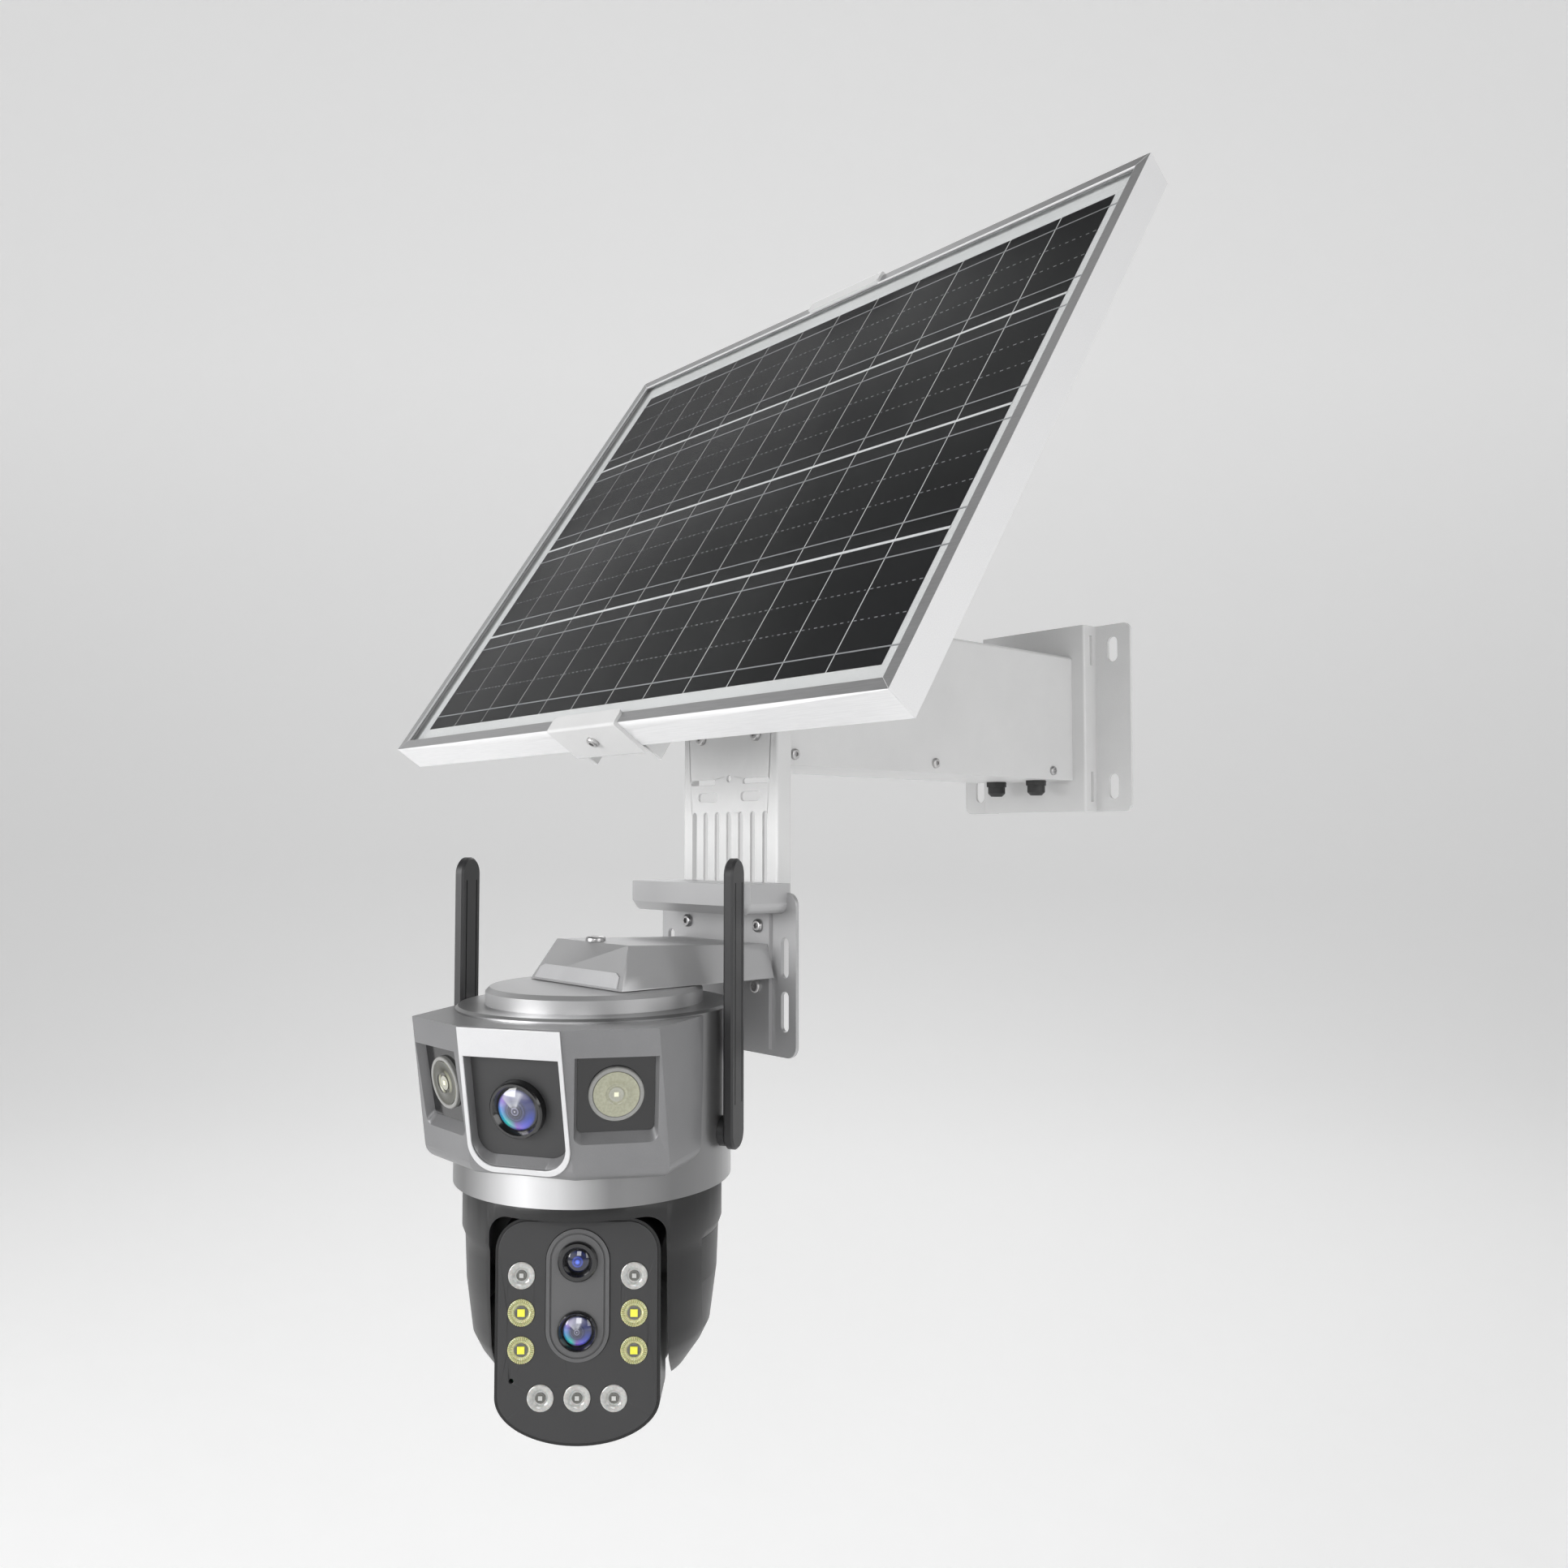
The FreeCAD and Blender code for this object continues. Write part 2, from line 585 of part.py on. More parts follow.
def camera_bracket():
    """Cast wall plate with a rain hood along its top and slotted wings."""
    y = BRACKET_BACK
    plate = box(-BRACKET_HALF, BRACKET_HALF, y - 2.5, y, BRACKET_FOOT, HOOD_TOP - 6)
    plate = round_edges(plate, V(0, 1, 0), 8)
    pad = box(-46, 46, y - 5, y, BRACKET_FOOT + 4, HOOD_TOP - 2)
    hood = box(-HOOD_HALF, HOOD_HALF, HOOD_FRONT, y, HOOD_LOW, HOOD_TOP)
    hood = round_edges(hood, V(0, 1, 0), 7, lambda c: c.z < HOOD_LOW + 1)
    hood = hood.makeChamfer(5.5, [e for e in hood.Edges if e.CenterOfMass.z < HOOD_LOW + 0.1
                                  and e.CenterOfMass.y < HOOD_FRONT + 0.1])
    hollow = box(3.5 - HOOD_HALF, HOOD_HALF - 3.5, HOOD_FRONT + 7, y - 5, HOOD_LOW - 1, HOOD_TOP - 4)
    hood = hood.cut(hollow)
    cast = fuse([plate, pad, hood])
    cuts = []
    for z in (90.0, 123.0):
        cuts += both_sides(slot_z(V(58, 0, z), 12.5, 3.5, y - 10, y + 5))
    for x, z in BRACKET_BOLTS:
        cuts += both_sides(rod(V(x, y - 10, z), V(0, 1, 0), 2.2, 20))
    return cast.cut(fuse(cuts))


def bracket_fasteners():
    """Screws through the bracket with flanged nuts behind the slotted plate."""
    seat_y = BRACKET_BACK + CAM_PLATE_T
    pieces = []
    for x, z in BRACKET_BOLTS:
        pieces += both_sides(domed_screw(V(x, BRACKET_BACK - 5, z), V(0, 1, 0), 1.95, 13, 4.2, 2.6))
        washer = rod(V(x, seat_y, z), V(0, 1, 0), 5.5, 1.0)
        body = hexagon(V(x, seat_y + 0.9, z), V(0, 1, 0), 7, 3.4)
        bore = rod(V(x, seat_y - 1, z), V(0, 1, 0), 2.05, 8)
        pieces += both_sides(fuse([washer, body]).cut(bore))
    return group(pieces)


def quad_wire(points):
    return Part.makePolygon(points + [points[0]])


def bracket_neck():
    """Tapered arm from the bracket to the swivel, sloped like a pyramid at the front."""
    foot = NECK_FOOT
    rear = quad_wire([V(-44, BRACKET_BACK - 5, 131), V(44, BRACKET_BACK - 5, 131),
                      V(51, BRACKET_BACK - 5, foot), V(-51, BRACKET_BACK - 5, foot)])
    front = quad_wire([V(-38, -3, 135), V(38, -3, 135), V(49, -15, foot), V(-49, -15, foot)])
    arm = Part.makeLoft([rear, front], True, True)
    wiring = box(-18, 18, 22, BRACKET_BACK - 9, foot - 1, 124)
    bore = rod(V(0, 0, foot - 1), V(0, 0, 1), HUB_R + TURN_GAP, 12.5)
    screw = rod(V(0, 0, foot), V(0, 0, 1), 2.9, 30)
    return arm.cut(fuse([wiring, bore, screw]))


def neck_inset():
    """Bright strip let on to the foot of the neck's sloping front."""
    slope = (V(0, -3, 135) - V(0, -15, NECK_FOOT)).normalize()
    out = V(0, -slope.z, slope.y)
    foot = V(0, -15, NECK_FOOT) + slope * 1.2
    outline = []
    for x, up in ((-44, 0), (-42, 7), (-38, 9), (38, 9), (42, 7), (44, 0)):
        outline.append(foot + V(x, 0, 0) + slope * up)
    return prism(outline, out * 0.9)


def swivel_screw():
    return domed_screw(V(0, 0, 135.35), V(0, 0, -1), 2.5, 20, 6.0, 3.0)


# ------------------------------------------------------------------ camera body
def swivel_collar():
    disc = rod(V(0, 0, BODY_H), V(0, 0, 1), COLLAR_R, COLLAR_TOP - BODY_H)
    disc = disc.makeChamfer(2.5, [e for e in disc.Edges if e.CenterOfMass.z > COLLAR_TOP - 0.5])
    hub = rod(V(0, 0, COLLAR_TOP - 1), V(0, 0, 1), HUB_R, 12)
    bore = rod(V(0, 0, COLLAR_TOP + 2), V(0, 0, 1), 2.5, 15)
    return fuse([disc, hub]).cut(bore)


def face_outline(z, inset=0.0, reach=15.0):
    """Plan outline of the three sided front at height z, closed inside the drum."""
    back = FACE_LEAN * (FACE_TOP - z) / (FACE_TOP - FACE_FOOT)
    i = inset
    pts = [(-SIDE_X + i, SIDE_D - back), (-CORNER_X + i, CORNER_D - back - 0.8 * i),
           (-FACE_HALF + 0.3 * i, FACE_D - back - i), (FACE_HALF - 0.3 * i, FACE_D - back - i),
           (CORNER_X - i, CORNER_D - back - 0.8 * i), (SIDE_X - i, SIDE_D - back),
           (SIDE_X - i, reach - back), (-SIDE_X + i, reach - back)]
    return quad_wire([V(x, -d, z) for x, d in pts])


def centre_frame():
    """Axes on the middle face: x across, y up the lean, z out of the face."""
    up = V(0, -FACE_LEAN, FACE_TOP - FACE_FOOT).normalize()
    return axes_at(V(0, -(FACE_D - FACE_LEAN / 2), (FACE_TOP + FACE_FOOT) / 2), V(1, 0, 0), up)


def side_frame(side):
    """Axes on the right (1) or left (-1) lamp face."""
    up = V(0, -FACE_LEAN, FACE_TOP - FACE_FOOT).normalize()
    across = V(CORNER_X - FACE_HALF, (FACE_D - CORNER_D) * side, 0).normalize()
    middle = V(side * (FACE_HALF + CORNER_X) / 2, -((FACE_D + CORNER_D) / 2 - FACE_LEAN / 2),
               (FACE_TOP + FACE_FOOT) / 2)
    return axes_at(middle, across, up)


def axes_at(origin, x_dir, y_hint):
    z_dir = x_dir.cross(y_hint).normalize()
    y_dir = z_dir.cross(x_dir).normalize()
    m = FreeCAD.Matrix(x_dir.x, y_dir.x, z_dir.x, origin.x,
                       x_dir.y, y_dir.y, z_dir.y, origin.y,
                       x_dir.z, y_dir.z, z_dir.z, origin.z, 0, 0, 0, 1)
    return FreeCAD.Placement(m)


def on_face(shape, frame):
    shape.Placement = frame.multiply(shape.Placement)
    return shape


def window_wire(half, low, high, radius, z):
    """Window outline with rounded lower corners, in face axes."""
    k = radius * (1 - math.sqrt(0.5))
    a = V(-half, high, z)
    b = V(-half, low + radius, z)
    c = V(-half + radius, low, z)
    d = V(half - radius, low, z)
    e = V(half, low + radius, z)
    f = V(half, high, z)
    return Part.Wire([Part.makeLine(a, b), Part.Arc(b, V(-half + k, low + k, z), c).toShape(),
                      Part.makeLine(c, d), Part.Arc(d, V(half - k, low + k, z), e).toShape(),
                      Part.makeLine(e, f), Part.makeLine(f, a)])


def window_solid(half, low, high, radius, z0, z1):
    return Part.Face(window_wire(half, low, high, radius, z0)).extrude(V(0, 0, z1 - z0))


def window_well(wide, narrow, depth):
    """Recess with sloping sides and foot; narrow is the outline of the plate at its bottom."""
    outer = window_wire(*wide, 0.6)
    inner = window_wire(*narrow, -depth)
    return Part.makeLoft([outer, inner], True, True)


CENTRE_WIDE = (28.0, -35.4, 25.3, 14.0)
CENTRE_PLATE = (27.0, -30.6, 25.1, 11.0)
CENTRE_DEPTH = 4.5
CENTRE_LENS_Y = -3.7
SIDE_WIDE = (22.2, -21.0, 26.4, 5.0)
SIDE_PLATE = (20.4, -15.6, 26.2, 3.0)
SIDE_DEPTH = 5.0
LAMP_Y = 5.3
LAMP_R = 14.6
PLATE_T = 2.0


def face_openings():
    wells = []
    wells.append(on_face(fuse([window_well(CENTRE_WIDE, CENTRE_PLATE, CENTRE_DEPTH),
                               window_solid(*CENTRE_PLATE, -20, -CENTRE_DEPTH)]), centre_frame()))
    for side in (-1, 1):
        wells.append(on_face(fuse([window_well(SIDE_WIDE, SIDE_PLATE, SIDE_DEPTH),
                                   window_solid(*SIDE_PLATE, -18, -SIDE_DEPTH)]), side_frame(side)))
    return fuse(wells)


def face_shell():
    """Three sided front housing that wraps the drum, with a well for each window."""
    outer = Part.makeLoft([face_outline(FACE_FOOT), face_outline(FACE_TOP)], True, True)
    foot_edges = [e for e in outer.Edges if e.CenterOfMass.z < FACE_FOOT + 0.1
                  and e.CenterOfMass.y < -SIDE_D]
    outer = outer.makeFillet(9, foot_edges)
    inner = Part.makeLoft([face_outline(FACE_FOOT + 3, 3.0), face_outline(FACE_TOP - 3, 3.0)], True, True)
    pads = [on_face(window_solid(30.0, -36.5, 27.5, 14.0, -9, -1), centre_frame())]
    pads += [on_face(window_solid(24.0, -23, 29, 5.0, -9.5, -1), side_frame(s)) for s in (-1, 1)]
    shell = outer.cut(inner).fuse(fuse(pads).common(outer))
    drum = rod(V(0, 0, -1), V(0, 0, 1), BODY_R + 0.05, BODY_H + 5)
    return shell.cut(drum).cut(face_openings()).removeSplitter()


def centre_bezel():
    """Bright trim over the top band and round the middle window."""
    trim = window_solid(FACE_HALF - 0.1, -38.5, 41.2, 15.5, 0, 1.1)
    return on_face(trim.cut(window_solid(28.0, -35.4, 25.3, 14.0, -1, 2)), centre_frame())


def centre_window():
    plate = window_solid(26.9, -30.5, 25.0, 11.0, -CENTRE_DEPTH - PLATE_T, -CENTRE_DEPTH)
    bore = rod(V(0, CENTRE_LENS_Y, -20), V(0, 0, 1), 15.7, 30)
    return on_face(plate.cut(bore), centre_frame())


def lens_barrel(radius, glass_r, back, front):
    """Stepped barrel with a coned mouth for the front glass."""
    tube = rod(V(0, 0, back), V(0, 0, 1), radius, front - back)
    tube = tube.makeChamfer(0.8, [e for e in tube.Edges if e.CenterOfMass.z > front - 0.2])
    mouth = Part.makeCone(glass_r, glass_r + 1.6, 2.4, V(0, 0, front - 2.4), V(0, 0, 1))
    seat = rod(V(0, 0, front - 7.0), V(0, 0, 1), glass_r, 5)
    throat = rod(V(0, 0, back - 1), V(0, 0, 1), glass_r * 0.55, front - back)
    return tube.cut(fuse([mouth, seat, throat]))


def lens_glass(glass_r, front, rise):
    """Domed front element seated in its barrel."""
    ball_r = (glass_r * glass_r + rise * rise) / (2 * rise)
    edge = front - 2.4
    plug = rod(V(0, 0, front - 6.9), V(0, 0, 1), glass_r - 0.05, edge + rise - front + 6.9)
    ball = Part.makeSphere(ball_r, V(0, 0, edge + rise - ball_r))
    return plug.common(ball.fuse(rod(V(0, 0, front - 8), V(0, 0, 1), glass_r + 1, edge - front + 8)))


def centre_lens_barrel():
    barrel = lens_barrel(15.6, 12.0, -26, -CENTRE_DEPTH + 5.0)
    barrel.translate(V(0, CENTRE_LENS_Y, 0))
    return on_face(barrel, centre_frame())


def centre_lens_glass():
    glass = lens_glass(12.0, -CENTRE_DEPTH + 5.0, 2.8)
    glass.translate(V(0, CENTRE_LENS_Y, 0))
    return on_face(glass, centre_frame())


def lamp_plates():
    plates = []
    for side in (-1, 1):
        plate = window_solid(20.3, -15.5, 26.1, 3.0, -SIDE_DEPTH - PLATE_T, -SIDE_DEPTH)
        hole = rod(V(0, LAMP_Y, -20), V(0, 0, 1), LAMP_R + 0.1, 30)
        plates.append(on_face(plate.cut(hole), side_frame(side)))
    return group(plates)


def lamp_lenses():
    """Stepped collimator lenses of the two floodlights."""
    lenses = []
    for side in (-1, 1):
        cone = Part.makeCone(6.0, LAMP_R, 10, V(0, LAMP_Y, -15), V(0, 0, 1))
        rim = rod(V(0, LAMP_Y, -5.1), V(0, 0, 1), LAMP_R, 2.4)
        dome = Part.makeCone(9.0, 6.5, 1.6, V(0, LAMP_Y, -2.8), V(0, 0, 1))
        groove = rod(V(0, LAMP_Y, -3.5), V(0, 0, 1), 11.6, 3).cut(rod(V(0, LAMP_Y, -4), V(0, 0, 1), 9.0, 4))
        cup = rod(V(0, LAMP_Y, -15.5), V(0, 0, 1), 3.4, 5)
        lenses.append(on_face(fuse([cone, rim, dome]).cut(fuse([groove, cup])), side_frame(side)))
    return group(lenses)


def front_boards():
    """Sensor board behind the middle lens and a chip board behind each floodlight."""
    board = box(-19, 19, -19, 19, -27.8, -26.2)
    chip = box(-4.4, 4.4, -4.4, 4.4, -26.4, -25.4)
    small = [box(x, x + 4, y, y + 3, -29.3, -27.6) for x in (-14, -5, 6) for y in (-12, 0, 9)]
    module = fuse([board, chip] + small)
    module.translate(V(0, CENTRE_LENS_Y, 0))
    boards = [on_face(module, centre_frame())]
    for side in (-1, 1):
        disc = rod(V(0, LAMP_Y, -17.2), V(0, 0, 1), 12, 1.6)
        led = box(-1.7, 1.7, LAMP_Y - 1.7, LAMP_Y + 1.7, -15.7, -14.4)
        boards.append(on_face(fuse([disc, led]), side_frame(side)))
    return group(boards)


def body_shell():
    """Silver drum with its foot band, top plate and an opening behind the windows."""
    drum = rod(V(0, 0, 0), V(0, 0, 1), BODY_R, BODY_H)
    drum = drum.makeChamfer(1.5, [e for e in drum.Edges if e.CenterOfMass.z > BODY_H - 0.5])
    hollow = rod(V(0, 0, BODY_WALL), V(0, 0, 1), BODY_R - BODY_WALL, BODY_H - 2 * BODY_WALL)
    front = box(-70, 70, -BODY_R - 5, -32, FACE_FOOT + 9, FACE_TOP - 6)
    bearing = rod(V(0, 0, -1), V(0, 0, 1), PAN_HUB_R + TURN_GAP, 12)
    boss = rod(V(0, 0, BODY_WALL - 0.5), V(0, 0, 1), PAN_HUB_R + 5, GEAR_Z - 0.3 - BODY_WALL + 0.5)
    return drum.cut(fuse([hollow, front])).fuse(boss).cut(bearing).removeSplitter()


def antenna_knuckles():
    knob = rod(V(BODY_R - 3.5, 0, ANTENNA_PIVOT_Z), V(1, 0, 0), KNUCKLE_R, 7.2)
    pin = rod(V(ANTENNA_X - 3.5, 0, ANTENNA_PIVOT_Z), V(1, 0, 0), 3.5, 3.7)
    drum = rod(V(0, 0, 0), V(0, 0, 1), BODY_R + 0.02, BODY_H)
    return group([s for s in both_sides(fuse([knob.cut(drum), pin]))])


def antenna():
    """Flat paddle with a rounded head and foot, hinged on the knuckle pin."""
    x0 = ANTENNA_X - ANTENNA_T / 2
    half = ANTENNA_W / 2
    foot_z = ANTENNA_PIVOT_Z
    blade = box(x0, x0 + ANTENNA_T, -half, half, foot_z, ANTENNA_TOP - half)
    ends = [rod(V(x0, 0, z), V(1, 0, 0), half, ANTENNA_T) for z in (foot_z, ANTENNA_TOP - half)]
    paddle = fuse([blade] + ends)
    rim = [e for e in paddle.Edges if abs(e.CenterOfMass.x - ANTENNA_X) > ANTENNA_T / 2 - 0.1]
    paddle = paddle.makeChamfer(1.2, rim)
    groove = box(x0 - 1, x0 + 0.8, -half + 4, -half + 5, foot_z + 16, ANTENNA_TOP - 14)
    grooves = [groove, groove.mirror(V(0, 0, 0), V(0, 1, 0))]
    grooves += [g.mirror(V(ANTENNA_X, 0, 0), V(1, 0, 0)) for g in list(grooves)]
    bore = rod(V(x0 - 1, 0, foot_z), V(1, 0, 0), 3.5 + TURN_GAP, 4.5)
    return paddle.cut(fuse(grooves + [bore]))


def main_board():
    """Controller board standing on the drum floor behind the front modules."""
    board = box(-34, 34, 44, 45.6, 12, 88)
    chips = [box(-12, 8, 42.5, 44.2, 44, 64), box(14, 26, 43, 44.2, 50, 62), box(-30, -18, 43, 44.2, 24, 40)]
    plugs = [box(-28 + 15 * i, -18 + 15 * i, 38, 44.2, 76, 84) for i in range(4)]
    feet = [box(s * 26 - 3, s * 26 + 3, 44, 50, BODY_WALL, 18) for s in (-1, 1)]
    return fuse([board] + chips + plugs + feet)


# ------------------------------------------------------------------ pan drive
def pinion_place():
    """Pinion centre about the camera axis, behind it and to one side, in camera axes."""
    angle = math.radians(PINION_ANGLE)
    return GEAR_DIST * math.cos(angle), GEAR_DIST * math.sin(angle)


PINION_ANGLE = 150.0
GEAR_Z = 9.0
GEAR_T = 5.0


def gear(teeth, tooth_at, z, height):
    """Spur gear on the z axis with one tooth pointing at tooth_at degrees."""
    pitch_r = GEAR_MODULE * teeth / 2
    root_r = pitch_r - 1.2 * GEAR_MODULE
    tip_r = pitch_r + 0.85 * GEAR_MODULE
    half_root = 0.88 * GEAR_MODULE / root_r
    half_tip = 0.30 * GEAR_MODULE / tip_r
    points = []
    for i in range(teeth):
        middle = math.radians(tooth_at) + 2 * math.pi * i / teeth
        for r, a in ((root_r, -half_root), (tip_r, -half_tip), (tip_r, half_tip), (root_r, half_root)):
            points.append(V(r * math.cos(middle + a), r * math.sin(middle + a), z))
    return prism(points, V(0, 0, height))


def pan_gear():
    """Ring gear clamped on the yoke hub; its tooth gap faces the pinion."""
    gap = PINION_ANGLE + BODY_YAW - LOOK_YAW + 180.0 / GEAR_TEETH
    wheel = gear(GEAR_TEETH, gap, GEAR_Z, GEAR_T)
    return wheel.cut(rod(V(0, 0, GEAR_Z - 1), V(0, 0, 1), PAN_HUB_R - 6, GEAR_T + 2))


def pan_pinion():
    x, y = pinion_place()
    wheel = gear(PINION_TEETH, PINION_ANGLE + 180.0, GEAR_Z - 0.5, GEAR_T + 1)
    shaft = rod(V(0, 0, GEAR_Z - 1), V(0, 0, 1), 1.5, 22)
    piece = fuse([wheel, shaft])
    piece.translate(V(x, y, 0))
    return piece


def pan_motor():
    """Stepper standing over the pinion on a bracket from the drum floor."""
    x, y = pinion_place()
    can = rod(V(x, y, 18), V(0, 0, 1), 14, 17)
    plate = box(x - 18, x + 18, y - 9, y + 9, 16.2, 18.2)
    legs = [box(x + s * 16.5 - 1.5, x + s * 16.5 + 1.5, y + 2, y + 9, BODY_WALL, 17) for s in (-1, 1)]
    motor = fuse([can, plate] + legs[:1])
    return motor.cut(rod(V(x, y, 15), V(0, 0, 1), 1.5 + TURN_GAP, 17))


# ------------------------------------------------------------------ yoke
YOKE_PROFILE = ((75.5, -1.0), (75.5, -25.0), (73.6, -30.0), (72.6, -55.0), (68.8, -84.0),
                (64.3, -93.0), (55.0, -106.0), (51.5, -109.0))
COVER_X = 66.0


def yoke_solid():
    points = [V(0, 0, YOKE_PROFILE[0][1])] + [V(r, 0, z) for r, z in YOKE_PROFILE]
    points.append(V(0, 0, YOKE_PROFILE[-1][1]))
    return Part.Face(quad_wire(points)).revolve(V(0, 0, 0), V(0, 0, 1), 360)


def cover_zone():
    return fuse(both_sides(box(COVER_X, 80, -40, 40, -100, -30)))


def yoke_shell():
    """Black fork: round head, two arms and a short rear wall."""
    gap = box(-GAP_HALF, GAP_HALF, -90, 58, -120, ROOF_Z)
    gap = round_edges(gap, V(0, 1, 0), 12, lambda c: c.z > ROOF_Z - 1)
    behind = box(-GAP_HALF, GAP_HALF, 50, 90, -120, -70)
    head_hollow = rod(V(0, 0, -5), V(0, 0, 1), 16, 3)
    shell = yoke_solid().cut(fuse([gap, behind])).cut(cover_zone())
    hub = rod(V(0, 0, -2), V(0, 0, 1), PAN_HUB_R, 10.8)
    neck = rod(V(0, 0, 8), V(0, 0, 1), PAN_HUB_R - 6.1, GEAR_T + 1.2)
    shell = fuse([shell, hub, neck])
    wires = rod(V(0, 0, -10), V(0, 0, 1), 11, 40)
    motor = rod(V(GAP_HALF + 2.5, 0, TILT_Z), V(1, 0, 0), MOTOR_R + 0.3, 14)
    shaft = rod(V(GAP_HALF - 2, 0, TILT_Z), V(1, 0, 0), 4.6, 6)
    bush = rod(V(-GAP_HALF - 9, 0, TILT_Z), V(1, 0, 0), 8 + TURN_GAP, 12)
    return shell.cut(fuse([wires, motor, shaft, bush])).cut(head_hollow)


MOTOR_R = 12.0


def yoke_covers():
    """Thin caps let into the outside of both arms."""
    cap = yoke_solid().common(box(COVER_X + 0.02, 80, -39.9, 39.9, -99.9, -30.1))
    return group(both_sides(cap))


def tilt_motor():
    x0 = GAP_HALF + 3
    can = rod(V(x0, 0, TILT_Z), V(1, 0, 0), MOTOR_R, 12)
    return can.cut(rod(V(x0 - 1, 0, TILT_Z), V(1, 0, 0), 2.5 + TURN_GAP, 10))


# ------------------------------------------------------------------ lens pod
def pod_wire(inset, d):
    """Pod outline: rounded top corners, straight sides and a half ellipse foot."""
    w = POD_HALF - inset
    top = POD_TOP - inset
    r = POD_CORNER - inset
    k = r * (1 - math.sqrt(0.5))
    side = POD_SIDE_END
    drop = POD_FOOT_DROP - inset
    y = -d
    oval = Part.Ellipse(V(w, y, side), V(0, y, side - drop), V(0, y, side))
    arc = Part.ArcOfEllipse(oval, 0, math.pi).toShape()
    left = V(-w, y, side)
    right = V(w, y, side)
    edges = [arc, Part.makeLine(right, V(w, y, top - r)),
             Part.Arc(V(w, y, top - r), V(w - k, y, top - k), V(w - r, y, top)).toShape(),
             Part.makeLine(V(w - r, y, top), V(r - w, y, top)),
             Part.Arc(V(r - w, y, top), V(k - w, y, top - k), V(-w, y, top - r)).toShape(),
             Part.makeLine(V(-w, y, top - r), left)]
    return Part.Wire(Part.__sortEdges__(edges))


def pod_block(inset, back, front):
    return Part.Face(pod_wire(inset, back)).extrude(V(0, back - front, 0))


def pod_shell():
    """Rear half of the pod: a drum on the tilt axis run into the deep face rim."""
    drum = rod(V(-POD_HALF, 0, TILT_Z), V(1, 0, 0), DRUM_R, 2 * POD_HALF)
    drum = drum.makeFillet(5, [e for e in drum.Edges if e.Length > 100])
    block = pod_block(0, POD_BACK, POD_FRONT - 0.5)
    block = block.makeFillet(6, [e for e in block.Edges if abs(e.CenterOfMass.y + POD_BACK) < 0.2])
    inner = rod(V(2.5 - POD_HALF, 0, TILT_Z), V(1, 0, 0), DRUM_R - 2.5, 2 * POD_HALF - 5)
    room = pod_block(2.5, POD_BACK + 2.5, POD_FRONT - 3)
    mouth = pod_block(1.5, POD_FRONT - 3.05, POD_FRONT + 1)
    hole = rod(V(POD_HALF - 4, 0, TILT_Z), V(1, 0, 0), 2.5, 6)
    bush_hole = rod(V(-POD_HALF - 1, 0, TILT_Z), V(1, 0, 0), 5.0, 6)
    return fuse([drum, block]).cut(fuse([inner, room, mouth])).cut(fuse([hole, bush_hole]))


def pod_trunnions():
    """Steel spindle driven by the motor and a hollow bush for the wiring."""
    spindle = rod(V(POD_HALF - 8, 0, TILT_Z), V(1, 0, 0), 2.5, GAP_HALF + 10 - POD_HALF + 8)
    hub = rod(V(POD_HALF - 8.5, 0, TILT_Z), V(1, 0, 0), 8, 6)
    sleeve = rod(V(-GAP_HALF - 8, 0, TILT_Z), V(1, 0, 0), 8, GAP_HALF + 8 - POD_HALF)
    nose = rod(V(-POD_HALF - 1, 0, TILT_Z), V(1, 0, 0), 5, 7)
    bush = fuse([sleeve, nose]).cut(rod(V(-GAP_HALF - 9, 0, TILT_Z), V(1, 0, 0), 3.5, 30))
    return group([fuse([spindle, hub]), bush])


def oval_block(half_w, half_h, middle_z, back, front):
    return slot_z(V(0, 0, middle_z), half_h, half_w, -front, -back)


OVAL_Z = -52.7


def led_spots():
    infrared = [(s * LED_SIDE_X, LED_ROWS[0]) for s in (-1, 1)] + [(x, LED_FOOT_Z) for x in LED_FOOT_X]
    white = [(s * LED_SIDE_X, z) for s in (-1, 1) for z in LED_ROWS[1:]]
    return infrared, white


def pod_face():
    """Dark front plate with holes for the lens oval, nine lamps and the microphone."""
    plate = pod_block(1.6, POD_FRONT - 3, POD_FRONT)
    infrared, white = led_spots()
    cuts = [oval_block(17.4, 35.9, OVAL_Z, POD_FRONT - 6, POD_FRONT + 3)]
    cuts += [rod(V(x, -POD_FRONT - 1, z), V(0, 1, 0), LED_R + 0.1, 6) for x, z in infrared + white]
    cuts.append(rod(V(-36, -POD_FRONT - 1, -98.8), V(0, 1, 0), 1.3, 6))
    return plate.cut(fuse(cuts))


def lens_insert():
    """Oval carrier with a ring groove and two lens bores."""
    back = POD_FRONT - 4
    front = POD_FRONT + 0.6
    oval = oval_block(17.3, 35.8, OVAL_Z, back, front)
    groove = oval_block(15.2, 33.9, OVAL_Z, front - 0.7, front + 1).cut(
        oval_block(14.2, 32.9, OVAL_Z, front - 1, front + 2))
    bores = [rod(V(0, -front - 1, z), V(0, 1, 0), LENS_R + 0.1, 8) for z in (UPPER_LENS_Z, LOWER_LENS_Z)]
    return oval.cut(fuse([groove] + bores))


def pod_lens_frame(z):
    return axes_at(V(0, -POD_FRONT, z), V(1, 0, 0), V(0, 0, 1))


def pod_barrel(z, glass_r):
    return on_face(lens_barrel(LENS_R, glass_r, -26, 2.6), pod_lens_frame(z))


def pod_glass(z, glass_r, rise):
    return on_face(lens_glass(glass_r, 2.6, rise), pod_lens_frame(z))


